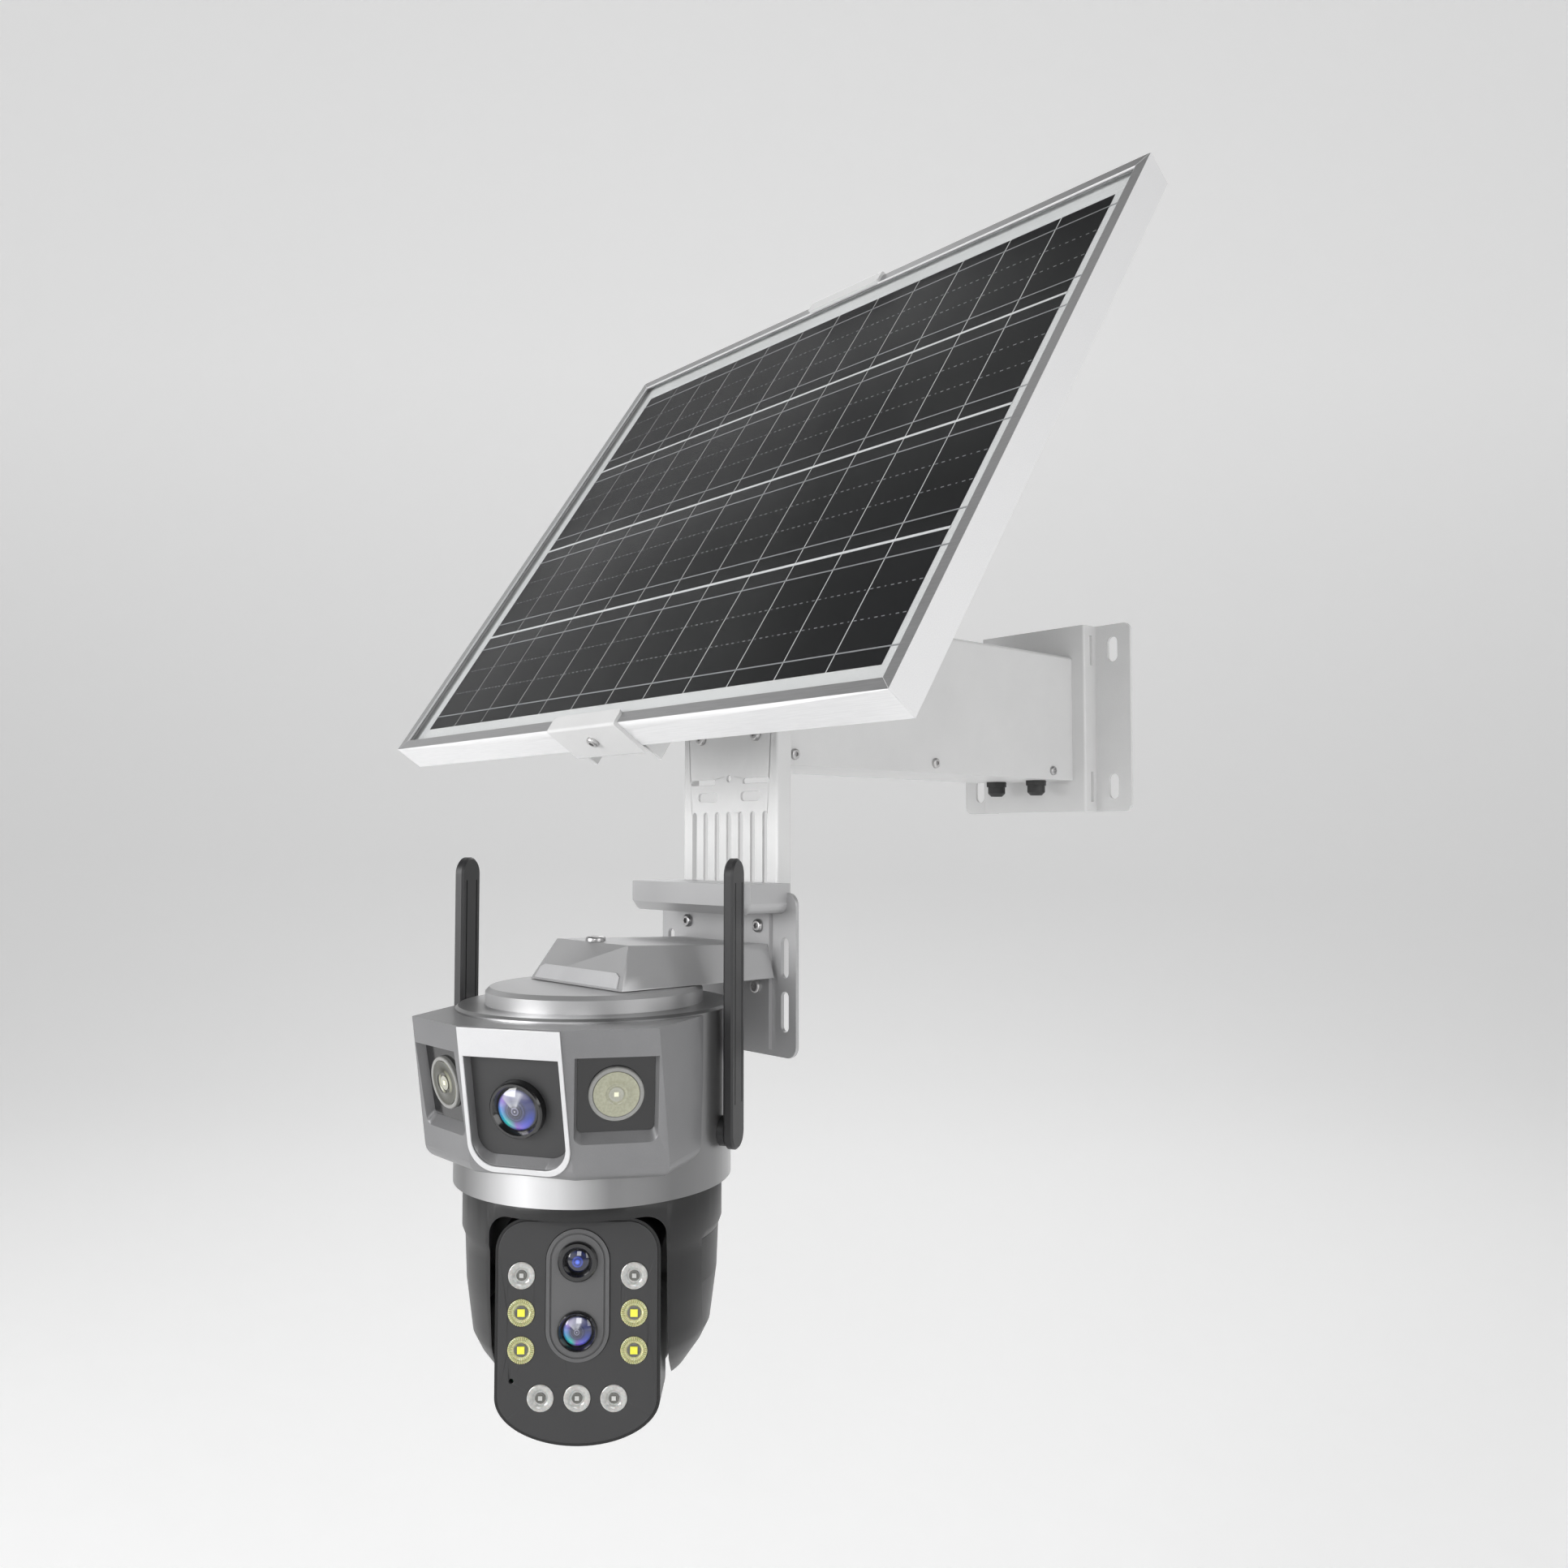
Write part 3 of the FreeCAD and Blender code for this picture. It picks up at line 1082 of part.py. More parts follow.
def led_lens(x, z):
    """Collimator lens with a shallow ring and a cup over the chip."""
    frame = axes_at(V(x, -POD_FRONT, z), V(1, 0, 0), V(0, 0, 1))
    cone = Part.makeCone(3.2, LED_R, 5.5, V(0, 0, -6.5), V(0, 0, 1))
    rim = rod(V(0, 0, -1.05), V(0, 0, 1), LED_R, 1.6)
    dish = Part.makeCone(3.0, 5.4, 0.9, V(0, 0, -0.3), V(0, 0, 1))
    button = rod(V(0, 0, -0.6), V(0, 0, 1), 2.4, 1.0)
    cup = rod(V(0, 0, -7), V(0, 0, 1), 1.9, 2.4)
    return on_face(fuse([fuse([cone, rim]).cut(dish), button]).cut(cup), frame)


def led_board():
    """Aluminium board behind the lamp lenses with a chip under each lens."""
    d = POD_FRONT - 9.4
    board = pod_block(4.5, d, d + 1.6)
    board = board.cut(oval_block(15, 34, OVAL_Z, d - 2, d + 4))
    infrared, white = led_spots()
    chips = [box(x - 1.2, x + 1.2, -d - 2.9, -d - 1.5, z - 1.2, z + 1.2) for x, z in infrared + white]
    return fuse([board] + chips)


def pod_board():
    """Image board that carries both lens barrels at its front."""
    y = -POD_FRONT + 26.1
    board = box(-18, 18, y, y + 1.6, -90, -22)
    chips = [box(-7, 7, y + 1.5, y + 3, z - 7, z + 7) for z in (UPPER_LENS_Z, LOWER_LENS_Z)]
    return fuse([board] + chips)


def pod_lens_barrels():
    return group([pod_barrel(UPPER_LENS_Z, UPPER_GLASS_R), pod_barrel(LOWER_LENS_Z, LOWER_GLASS_R)])


def pod_lens_glasses():
    return group([pod_glass(UPPER_LENS_Z, UPPER_GLASS_R, 1.6), pod_glass(LOWER_LENS_Z, LOWER_GLASS_R, 2.2)])


def ir_led_lenses():
    return group([led_lens(x, z) for x, z in led_spots()[0]])


def white_led_lenses():
    return group([led_lens(x, z) for x, z in led_spots()[1]])


def right_antenna():
    return antenna()


def left_antenna():
    return antenna().mirror(V(0, 0, 0), V(1, 0, 0))


FIXED = (wall_plate, arm_housing, arm_bottom_cover, arm_cover_screws, arm_bolts, battery_pack,
         charge_controller, cable_glands, camera_plate, m5_bolts, m5_nuts, tilt_base, tilt_pivot_bolt)
ON_PANEL = (panel_glass, solar_cells, panel_backsheet, junction_box, panel_rail, tilt_lock_bolt,
            panel_clips, clip_screws)
ON_BRACKET = (camera_bracket, bracket_fasteners, bracket_neck, neck_inset)
ON_BODY = (swivel_screw, swivel_collar, body_shell, face_shell, centre_bezel, centre_window,
           centre_lens_barrel, centre_lens_glass, lamp_plates, lamp_lenses, front_boards,
           antenna_knuckles, main_board, pan_motor, pan_pinion, right_antenna, left_antenna)
ON_YOKE = (pan_gear, yoke_shell, yoke_covers, tilt_motor, pod_shell, pod_trunnions, pod_face,
           lens_insert, pod_lens_barrels, pod_lens_glasses, led_board, pod_board, ir_led_lenses,
           white_led_lenses)

for make in FIXED:
    save(make.__name__, make())
for name, piece in panel_frame().items():
    save(name, place_panel(piece))
for make in ON_PANEL:
    save(make.__name__, place_panel(make()))
for make in ON_BRACKET:
    save(make.__name__, place_camera(make()))
for make in ON_BODY:
    save(make.__name__, place_camera(make(), BODY_YAW))
for make in ON_YOKE:
    save(make.__name__, place_camera(make(), LOOK_YAW))
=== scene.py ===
import json
import math
import bmesh
import bpy
from mathutils import Matrix, Vector


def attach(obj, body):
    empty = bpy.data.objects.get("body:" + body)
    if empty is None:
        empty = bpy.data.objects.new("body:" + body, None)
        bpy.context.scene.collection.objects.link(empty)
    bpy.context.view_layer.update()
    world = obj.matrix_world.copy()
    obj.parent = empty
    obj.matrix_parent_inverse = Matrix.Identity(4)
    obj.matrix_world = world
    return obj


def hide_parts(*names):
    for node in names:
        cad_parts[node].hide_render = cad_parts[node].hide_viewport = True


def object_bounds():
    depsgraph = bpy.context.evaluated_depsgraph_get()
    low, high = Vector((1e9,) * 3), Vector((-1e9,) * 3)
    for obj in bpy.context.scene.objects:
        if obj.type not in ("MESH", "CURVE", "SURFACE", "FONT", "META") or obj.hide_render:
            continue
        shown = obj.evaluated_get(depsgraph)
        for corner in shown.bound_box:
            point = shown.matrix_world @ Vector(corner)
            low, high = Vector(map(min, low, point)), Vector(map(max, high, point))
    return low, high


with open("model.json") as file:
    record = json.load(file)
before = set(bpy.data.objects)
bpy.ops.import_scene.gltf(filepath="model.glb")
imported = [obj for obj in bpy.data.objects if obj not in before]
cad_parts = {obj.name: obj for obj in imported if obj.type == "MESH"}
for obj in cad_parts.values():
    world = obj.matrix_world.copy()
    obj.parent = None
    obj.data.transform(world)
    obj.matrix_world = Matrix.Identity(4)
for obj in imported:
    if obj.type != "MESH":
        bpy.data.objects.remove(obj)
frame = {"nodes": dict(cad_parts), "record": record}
cad_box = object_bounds()

# Frames of the part, in metres and degrees, as the CAD model lays them out.
MM = 0.001
PANEL_CENTRE = Vector((0, -0.345, 0.135))
PANEL_TILT = math.radians(56)
CAM_AXIS = Vector((0, -0.4465, -0.294))
BODY_YAW = math.radians(30)
LOOK_YAW = math.radians(48)

# Faces of the camera in its own frame, in millimetres: how far each leans back over its
# height, and the middle of its front.
FACE_LEAN = 16.0
FACE_RISE = 81.5
FACE_MIDDLE_Z = 56.75
CENTRE_FACE_Y = -93.0
SIDE_FACE_X = 52.8
SIDE_FACE_Y = -80.5
SIDE_FACE_RUN = 44.4
SIDE_FACE_TURN = 25.0
POD_FACE_Y = -57.0
CENTRE_LENS_DROP = 3.7
CENTRE_LENS_R = 12.0

# Cells of the panel in its own frame, in millimetres.
CELL_W = 462.0
CELL_H = 360.0
COLS = 12
ROWS = 4
CELL_TOP = -4.99
ROW_PITCH = CELL_H / ROWS
COL_PITCH = CELL_W / COLS


# ------------------------------------------------------------------ placing
def axes_matrix(origin, x_dir, y_hint):
    """Local frame with its origin given in millimetres, x along x_dir and y near y_hint."""
    z_dir = x_dir.cross(y_hint).normalized()
    y_dir = z_dir.cross(x_dir).normalized()
    m = Matrix.Identity(4)
    for i, axis in enumerate((x_dir.normalized(), y_dir, z_dir)):
        for j in range(3):
            m[j][i] = axis[j]
    m.translation = origin * MM
    return m


def panel_matrix():
    return Matrix.Translation(PANEL_CENTRE) @ Matrix.Rotation(PANEL_TILT, 4, "X")


def head_matrix(yaw):
    return Matrix.Translation(CAM_AXIS) @ Matrix.Rotation(yaw, 4, "Z")


def centre_face():
    up = Vector((0, -FACE_LEAN, FACE_RISE))
    middle = Vector((0, CENTRE_FACE_Y, FACE_MIDDLE_Z))
    return head_matrix(BODY_YAW) @ axes_matrix(middle, Vector((1, 0, 0)), up)


def side_face(side):
    up = Vector((0, -FACE_LEAN, FACE_RISE))
    across = Vector((SIDE_FACE_RUN, SIDE_FACE_TURN * side, 0))
    middle = Vector((side * SIDE_FACE_X, SIDE_FACE_Y, FACE_MIDDLE_Z))
    return head_matrix(BODY_YAW) @ axes_matrix(middle, across, up)


def pod_face(x, z):
    spot = Vector((x, POD_FACE_Y, z))
    return head_matrix(LOOK_YAW) @ axes_matrix(spot, Vector((1, 0, 0)), Vector((0, 0, 1)))


# ------------------------------------------------------------------ node helpers
class Nodes:
    """Short calls for building one node material."""

    def __init__(self, name):
        self.material = bpy.data.materials.new(name)
        self.material.use_nodes = True
        self.tree = self.material.node_tree
        self.shader = self.tree.nodes["Principled BSDF"]
        self.coords = self.add("ShaderNodeTexCoord").outputs["Object"]

    def add(self, kind, **settings):
        node = self.tree.nodes.new(kind)
        for key, value in settings.items():
            setattr(node, key, value)
        return node

    def link(self, source, target):
        self.tree.links.new(source, target)

    def place(self, matrix):
        """Object coordinates seen from a local frame."""
        node = self.add("ShaderNodeMapping", vector_type="TEXTURE")
        node.inputs["Location"].default_value = matrix.to_translation()
        node.inputs["Rotation"].default_value = matrix.to_euler("XYZ")
        self.link(self.coords, node.inputs["Vector"])
        return node.outputs["Vector"]

    def noise(self, scale, detail=3.0, roughness=0.5, stretch=None, vector=None):
        node = self.add("ShaderNodeTexNoise")
        node.inputs["Scale"].default_value = scale
        node.inputs["Detail"].default_value = detail
        node.inputs["Roughness"].default_value = roughness
        source = vector or self.coords
        if stretch:
            squeeze = self.add("ShaderNodeMapping")
            squeeze.inputs["Scale"].default_value = stretch
            self.link(source, squeeze.inputs["Vector"])
            source = squeeze.outputs["Vector"]
        self.link(source, node.inputs["Vector"])
        return node.outputs["Fac"]

    def span(self, value, low, high, to_low, to_high):
        node = self.add("ShaderNodeMapRange")
        for key, number in zip(("From Min", "From Max", "To Min", "To Max"), (low, high, to_low, to_high)):
            node.inputs[key].default_value = number
        self.link(value, node.inputs["Value"])
        return node.outputs["Result"]

    def math(self, operation, first, second=None):
        node = self.add("ShaderNodeMath", operation=operation)
        for socket, value in zip(node.inputs, (first, second)):
            if value is None:
                continue
            if isinstance(value, (int, float)):
                socket.default_value = value
            else:
                self.link(value, socket)
        return node.outputs[0]

    def ramp(self, value, stops):
        node = self.add("ShaderNodeValToRGB")
        ramp = node.color_ramp
        while len(ramp.elements) < len(stops):
            ramp.elements.new(0.5)
        for element, (position, colour) in zip(ramp.elements, stops):
            element.position = position
            element.color = (*colour, 1)
        self.link(value, node.inputs["Fac"])
        return node.outputs["Color"]

    def mix(self, fac, first, second):
        node = self.add("ShaderNodeMix", data_type="RGBA")
        if isinstance(fac, (int, float)):
            node.inputs[0].default_value = fac
        else:
            self.link(fac, node.inputs[0])
        for socket, value in ((node.inputs[6], first), (node.inputs[7], second)):
            if isinstance(value, tuple):
                socket.default_value = (*value, 1)
            else:
                self.link(value, socket)
        return node.outputs[2]

    def split(self, vector):
        node = self.add("ShaderNodeSeparateXYZ")
        self.link(vector, node.inputs[0])
        return node.outputs

    def radius(self, vector):
        x, y, _ = self.split(vector)
        return self.math("SQRT", self.math("ADD", self.math("MULTIPLY", x, x), self.math("MULTIPLY", y, y)))

    def colour(self, value):
        self.link(value, self.shader.inputs["Base Color"])

    def rough(self, value):
        self.link(value, self.shader.inputs["Roughness"])

    def bump(self, height, strength, distance):
        node = self.add("ShaderNodeBump")
        node.inputs["Strength"].default_value = strength
        node.inputs["Distance"].default_value = distance
        self.link(height, node.inputs["Height"])
        self.link(node.outputs["Normal"], self.shader.inputs["Normal"])

    def set(self, **values):
        for key, value in values.items():
            self.shader.inputs[key.replace("_", " ")].default_value = value


def grained(name, low, high, rough, grain, depth, metallic=0.0, coat=0.0, blotch=18.0):
    """Paint or plastic: broad tone drift, fine grain in colour, roughness and surface."""
    n = Nodes(name)
    drift = n.noise(blotch, 4.0, 0.6)
    fine = n.noise(grain, 2.0, 0.6)
    blend = n.math("ADD", n.math("MULTIPLY", drift, 0.6), n.math("MULTIPLY", fine, 0.4))
    n.colour(n.ramp(blend, [(0.32, low), (0.68, high)]))
    n.rough(n.span(blend, 0.3, 0.7, rough[0], rough[1]))
    n.bump(fine, 0.35, depth)
    n.set(Metallic=metallic)
    if coat:
        n.set(Coat_Weight=coat, Coat_Roughness=0.12)
    return n.material


# ------------------------------------------------------------------ materials
def cell_material():
    """Near-black silicon: grid fingers, a tone step per cell, a smoky drift and a painted pale sheen slanting
    in from the upper left.
    """
    n = Nodes("silicon_cell_look")
    local = n.place(panel_matrix())
    finger_pitch = 1.6 * MM
    x, y, _ = n.split(local)
    cell_x = n.math("FLOOR", n.math("DIVIDE", n.math("ADD", x, CELL_W / 2 * MM), COL_PITCH * MM))
    cell_y = n.math("FLOOR", n.math("DIVIDE", n.math("ADD", y, CELL_H / 2 * MM), ROW_PITCH * MM))
    seed = n.math("ADD", n.math("MULTIPLY", cell_x, 12.9), n.math("MULTIPLY", cell_y, 78.2))
    per_cell = n.math("FRACT", n.math("MULTIPLY", n.math("SINE", seed), 43.7))
    finger = n.math("LESS_THAN", n.math("FRACT", n.math("DIVIDE", x, finger_pitch)), 0.12)
    smoke = n.noise(5.0, 3.0, 0.5, vector=local)
    tone = n.math("ADD", n.math("MULTIPLY", per_cell, 0.35), n.math("MULTIPLY", smoke, 0.65))
    dark = n.ramp(tone, [(0.2, (0.0030, 0.0031, 0.0036)), (0.8, (0.0085, 0.0087, 0.0098))])
    # Painted sheen: the colour is lifted toward pale grey in a slanting band from the upper left of the
    # panel.
    corner = n.math("SUBTRACT", n.math("MULTIPLY", y, 0.6), x)
    dark = n.mix(n.span(corner, -0.05, 0.36, 0.0, 0.8), dark, (0.030, 0.030, 0.031))
    n.colour(n.mix(n.math("MULTIPLY", finger, 0.18), dark, (0.05, 0.052, 0.058)))
    n.rough(n.span(smoke, 0.3, 0.7, 0.28, 0.42))
    n.set(Specular_IOR_Level=0.35)
    return n.material


def glass_material():
    """Cover glass: clear from the front, glossier at a grazing look, faintly uneven."""
    n = Nodes("panel_glass_look")
    stipple = n.noise(900.0, 2.0)
    clear = n.add("ShaderNodeBsdfTransparent")
    n.link(n.ramp(stipple, [(0.3, (0.955, 0.96, 0.96)), (0.7, (0.98, 0.982, 0.982))]), clear.inputs["Color"])
    gloss = n.add("ShaderNodeBsdfGlossy")
    gloss.inputs["Color"].default_value = (0.9, 0.9, 0.9, 1)
    n.link(n.span(stipple, 0.3, 0.7, 0.10, 0.16), gloss.inputs["Roughness"])
    edge = n.add("ShaderNodeLayerWeight")
    edge.inputs["Blend"].default_value = 0.22
    blend = n.add("ShaderNodeMixShader")
    n.link(n.math("MULTIPLY", edge.outputs["Fresnel"], 0.09), blend.inputs[0])
    n.link(clear.outputs[0], blend.inputs[1])
    n.link(gloss.outputs[0], blend.inputs[2])
    n.link(blend.outputs[0], n.tree.nodes["Material Output"].inputs["Surface"])
    n.tree.nodes.remove(n.shader)
    return n.material


def aluminium_material():
    """Frame extrusion: a lip round the glass that is more metallic and painted darker as shade, and light
    sides.
    """
    n = Nodes("frame_alu_look")
    drawn = n.noise(60.0, 2.0, 0.6, (1.0, 30.0, 30.0))
    facing = n.add("ShaderNodeVectorMath", operation="DOT_PRODUCT")
    facing.inputs[1].default_value = (0, -math.sin(PANEL_TILT), math.cos(PANEL_TILT))
    n.link(n.add("ShaderNodeTexCoord").outputs["Normal"], facing.inputs[0])
    # Painted shade: faces turned like the panel's front, the lip round the glass, get a darker colour.
    lip = n.span(facing.outputs["Value"], 0.90, 0.97, 0.0, 1.0)
    side_tone = n.ramp(drawn, [(0.3, (0.76, 0.76, 0.765)), (0.7, (0.83, 0.83, 0.835))])
    lip_painted_shade = n.ramp(drawn, [(0.3, (0.40, 0.40, 0.405)), (0.7, (0.47, 0.47, 0.475))])
    n.colour(n.mix(lip, side_tone, lip_painted_shade))
    n.link(n.span(lip, 0.0, 1.0, 0.15, 0.7), n.shader.inputs["Metallic"])
    n.rough(n.span(drawn, 0.3, 0.7, 0.30, 0.42))
    n.bump(drawn, 0.3, 0.00003)
    return n.material


def satin_silver():
    """Satin silver paint of the bracket, the neck and the collar."""
    return grained("silver_cast_look", (0.44, 0.44, 0.445), (0.50, 0.50, 0.505), (0.40, 0.46), 2600.0,
                   0.00003, metallic=0.6, blotch=6.0)


def drum_material():
    """Drum of the camera: turned silver with a painted sheen that comes and goes round the axis."""
    n = Nodes("drum_look")
    x, y, _ = n.split(n.place(head_matrix(BODY_YAW)))
    angle = n.math("ARCTAN2", x, n.math("MULTIPLY", y, -1.0))
    turn = n.math("ADD", n.math("DIVIDE", angle, 2 * math.pi), 0.5)
    sheen = n.ramp(turn, [(at, (tone, tone, tone * 1.01)) for at, tone in DRUM_PAINTED_SHEEN])
    fine = n.noise(2600.0, 2.0, 0.6, (1.0, 1.0, 8.0))
    n.colour(n.mix(n.math("MULTIPLY", fine, 0.16), sheen, (0.35, 0.35, 0.355)))
    n.rough(n.span(fine, 0.3, 0.7, 0.30, 0.38))
    n.bump(fine, 0.25, 0.00002)
    n.set(Metallic=0.85)
    return n.material


# Painted sheen of the drum: its tone by share of a full turn, starting at its back.
DRUM_PAINTED_SHEEN = [(0.0, 0.50), (0.22, 0.55), (0.33, 0.24), (0.40, 0.22), (0.47, 0.55), (0.50, 0.80),
              (0.535, 0.72), (0.59, 0.26), (0.66, 0.19), (0.73, 0.30), (0.80, 0.60), (1.0, 0.50)]


def lens_material(name, matrix, radius, rings, painted_sheen_stops, glare):
    """Coated front glass: inner rings with painted ring highlights, a painted coloured sheen that turns round
    it and a painted wedge of glare.
    """
    n = Nodes(name)
    local = n.place(matrix)
    x, y, _ = n.split(local)
    r = n.math("DIVIDE", n.radius(local), radius)
    turn = n.math("ADD", n.math("DIVIDE", n.math("ARCTAN2", y, x), 2 * math.pi), 0.5)
    wobble = n.noise(260.0, 2.0, vector=local)
    # Dark inner rings with painted ring highlights and a painted bright pupil in the middle.
    depth = n.ramp(r, rings)
    sheen = n.ramp(n.math("ADD", turn, n.span(wobble, 0.3, 0.7, -0.01, 0.01)), painted_sheen_stops)
    # Painted coloured sheen of the coating, in a band between the middle and the rim.
    painted_sheen_band = n.math("MULTIPLY", n.span(r, 0.42, 0.74, 0.0, 1.0), n.span(r, 0.84, 0.94, 1.0, 0.0))
    rings_and_painted_sheen = n.mix(n.math("MULTIPLY", painted_sheen_band, 0.9), depth, sheen)
    # Painted glare: a pale wedge over part of the turn, between the middle and the rim.
    wedge = n.ramp(turn, PAINTED_GLARE_WEDGE)
    reach = n.math("MULTIPLY", n.span(r, 0.10, 0.30, 0.0, 1.0), n.span(r, 0.80, 0.92, 1.0, 0.0))
    bright = n.math("MULTIPLY", n.math("MULTIPLY", wedge, reach), glare)
    n.colour(n.mix(bright, rings_and_painted_sheen, (0.50, 0.51, 0.56)))
    n.rough(n.span(wobble, 0.3, 0.7, 0.03, 0.07))
    n.set(Coat_Weight=1.0, Coat_Roughness=0.02, Specular_IOR_Level=0.6)
    return n.material


# Ramps across a lens, by radius from the middle or by a full turn that starts at -x: ring highlights, coating
# sheen and a wedge of glare, all painted.
PAINTED_GLARE_WEDGE = [(0.60, (0, 0, 0)), (0.66, (0.15, 0.15, 0.15)), (0.70, (1, 1, 1)), (0.80, (0.55, 0.55, 0.55)),
         (0.88, (0.8, 0.8, 0.8)), (0.90, (0, 0, 0))]
RINGS = [(0.0, (0.45, 0.45, 0.56)), (0.06, (0.02, 0.02, 0.04)), (0.13, (0.08, 0.08, 0.13)),
         (0.17, (0.22, 0.22, 0.32)), (0.20, (0.008, 0.008, 0.02)), (0.30, (0.04, 0.045, 0.09)),
         (0.33, (0.012, 0.014, 0.04)), (0.42, (0.06, 0.07, 0.16)), (0.45, (0.01, 0.012, 0.04)),
         (0.58, (0.03, 0.04, 0.14)), (0.90, (0.02, 0.03, 0.10)), (0.96, (0.004, 0.004, 0.006))]
PAINTED_COATING_SHEEN = [(0.0, (0.07, 0.22, 0.55)), (0.08, (0.02, 0.34, 0.48)), (0.16, (0.03, 0.50, 0.40)),
            (0.24, (0.22, 0.10, 0.46)), (0.32, (0.10, 0.10, 0.62)), (0.42, (0.03, 0.06, 0.40)),
            (0.52, (0.02, 0.03, 0.14)), (0.66, (0.10, 0.10, 0.20)), (0.80, (0.22, 0.20, 0.36)),
            (0.90, (0.30, 0.20, 0.56)), (1.0, (0.07, 0.22, 0.55))]
BLUE_RINGS = [(0.0, (0.10, 0.22, 0.95)), (0.16, (0.06, 0.12, 0.70)), (0.24, (0.01, 0.015, 0.10)),
              (0.40, (0.03, 0.06, 0.38)), (0.50, (0.006, 0.008, 0.04)), (0.66, (0.004, 0.004, 0.008)),
              (1.0, (0.003, 0.003, 0.004))]
# Strength of the painted glare wedge.
PAINTED_LENS_GLARE = 0.8
PAINTED_BLUE_SHEEN = [(0.0, (0.004, 0.005, 0.012)), (0.5, (0.008, 0.012, 0.05)), (0.75, (0.010, 0.018, 0.10)),
             (1.0, (0.004, 0.005, 0.012))]


def flood_material():
    """Floodlight optic with a painted reflection of its reflector: pale from the front, dark olive from the
    side, as the reflector turns away.
    """
    n = Nodes("lamp_lens_look")
    haze = n.noise(700.0, 2.0)
    pale = n.ramp(haze, [(0.3, (0.31, 0.31, 0.22)), (0.7, (0.38, 0.38, 0.28))])
    turn = n.add("ShaderNodeLayerWeight")
    turn.inputs["Blend"].default_value = 0.5
    # Painted reflection: the colour goes from pale to dark olive as the lens turns away from the eye.
    side = n.span(turn.outputs["Facing"], 0.36, 0.52, 0.0, 1.0)
    n.colour(n.mix(side, pale, (0.020, 0.020, 0.006)))
    n.rough(n.span(haze, 0.3, 0.7, 0.08, 0.18))
    n.set(Coat_Weight=0.8, Coat_Roughness=0.03)
    return n.material


def paint_nodes():
    """Gives every CAD node the look of its material slot; the drum has a look of its own, with a painted
    sheen.
    """
    looks = {
        "white_paint": grained("white_paint_look", (0.63, 0.63, 0.63), (0.69, 0.69, 0.688), (0.36, 0.48),
                               1500.0, 0.00005, coat=0.1),
        "zinc_steel": grained("zinc_steel_look", (0.42, 0.42, 0.43), (0.62, 0.61, 0.60), (0.25, 0.42),
                              800.0, 0.00003, metallic=1.0),
        "battery": grained("battery_look", (0.10, 0.22, 0.40), (0.14, 0.28, 0.48), (0.3, 0.45), 500.0,
                           0.00004),
        "circuit_board": grained("circuit_board_look", (0.02, 0.13, 0.07), (0.04, 0.20, 0.10), (0.3, 0.5),
                                 700.0, 0.00004),
        "black_nylon": grained("black_nylon_look", (0.018, 0.018, 0.018), (0.035, 0.035, 0.035), (0.5, 0.65),
                               1400.0, 0.00006),
        "frame_alu": aluminium_material(),
        "panel_glass": glass_material(),
        "silicon_cell": cell_material(),
        "backsheet": grained("backsheet_look", (0.74, 0.75, 0.75), (0.82, 0.82, 0.82), (0.45, 0.6), 700.0,
                             0.00003),
        "silver_cast": satin_silver(),
        "bright_trim": grained("bright_trim_look", (0.58, 0.58, 0.59), (0.66, 0.66, 0.67), (0.28, 0.38),
                               2200.0, 0.00003, metallic=0.25, coat=0.3),
        "grey_housing": grained("grey_housing_look", (0.19, 0.19, 0.195), (0.24, 0.24, 0.245), (0.34, 0.46),
                                2600.0, 0.00005, metallic=0.35, coat=0.1),
        "dark_window": grained("dark_window_look", (0.030, 0.030, 0.031), (0.038, 0.038, 0.039), (0.42, 0.52),
                               2400.0, 0.00004),
        "black_gloss": grained("black_gloss_look", (0.004, 0.004, 0.004), (0.010, 0.010, 0.011), (0.10, 0.2),
                               900.0, 0.00002, coat=0.6),
        "antenna_black": grained("antenna_black_look", (0.018, 0.018, 0.019), (0.027, 0.027, 0.028),
                                 (0.36, 0.48), 1800.0, 0.00005),
        "motor_steel": grained("motor_steel_look", (0.40, 0.40, 0.41), (0.55, 0.55, 0.55), (0.25, 0.4),
                               500.0, 0.00003, metallic=1.0),
        "gear_nylon": grained("gear_nylon_look", (0.72, 0.70, 0.62), (0.80, 0.78, 0.70), (0.45, 0.6), 600.0,
                              0.00004),
        "yoke_black": grained("yoke_black_look", (0.006, 0.006, 0.0063), (0.010, 0.010, 0.0105), (0.32, 0.42),
                              2200.0, 0.00004),
        "pod_grey": grained("pod_grey_look", (0.030, 0.030, 0.031), (0.037, 0.037, 0.038), (0.40, 0.52),
                            2400.0, 0.00004),
        "insert_grey": grained("insert_grey_look", (0.090, 0.090, 0.092), (0.11, 0.11, 0.112), (0.38, 0.5),
                               2400.0, 0.00004),
        "lamp_lens": flood_material(),
        "ir_lens": clear_material("ir_lens_look", (0.38, 0.38, 0.37), (0.50, 0.50, 0.48)),
        "warm_lens": clear_material("warm_lens_look", (0.55, 0.54, 0.26), (0.68, 0.67, 0.38)),
    }
    looks["lens_glass"] = lens_material("centre_lens_look", centre_lens_matrix(), CENTRE_LENS_R * MM,
                                        RINGS, PAINTED_COATING_SHEEN, PAINTED_LENS_GLARE)
    for entry in frame["record"]["subparts"]:
        node = frame["nodes"][entry["node"]]
        for material_slot in node.material_slots:
            material_slot.material = looks[entry["material_slot"]]
    drum = drum_material()
    for material_slot in frame["nodes"]["body_shell"].material_slots:
        material_slot.material = drum
    return looks


def centre_lens_matrix():
    return centre_face() @ Matrix.Translation((0, -CENTRE_LENS_DROP * MM, 0))


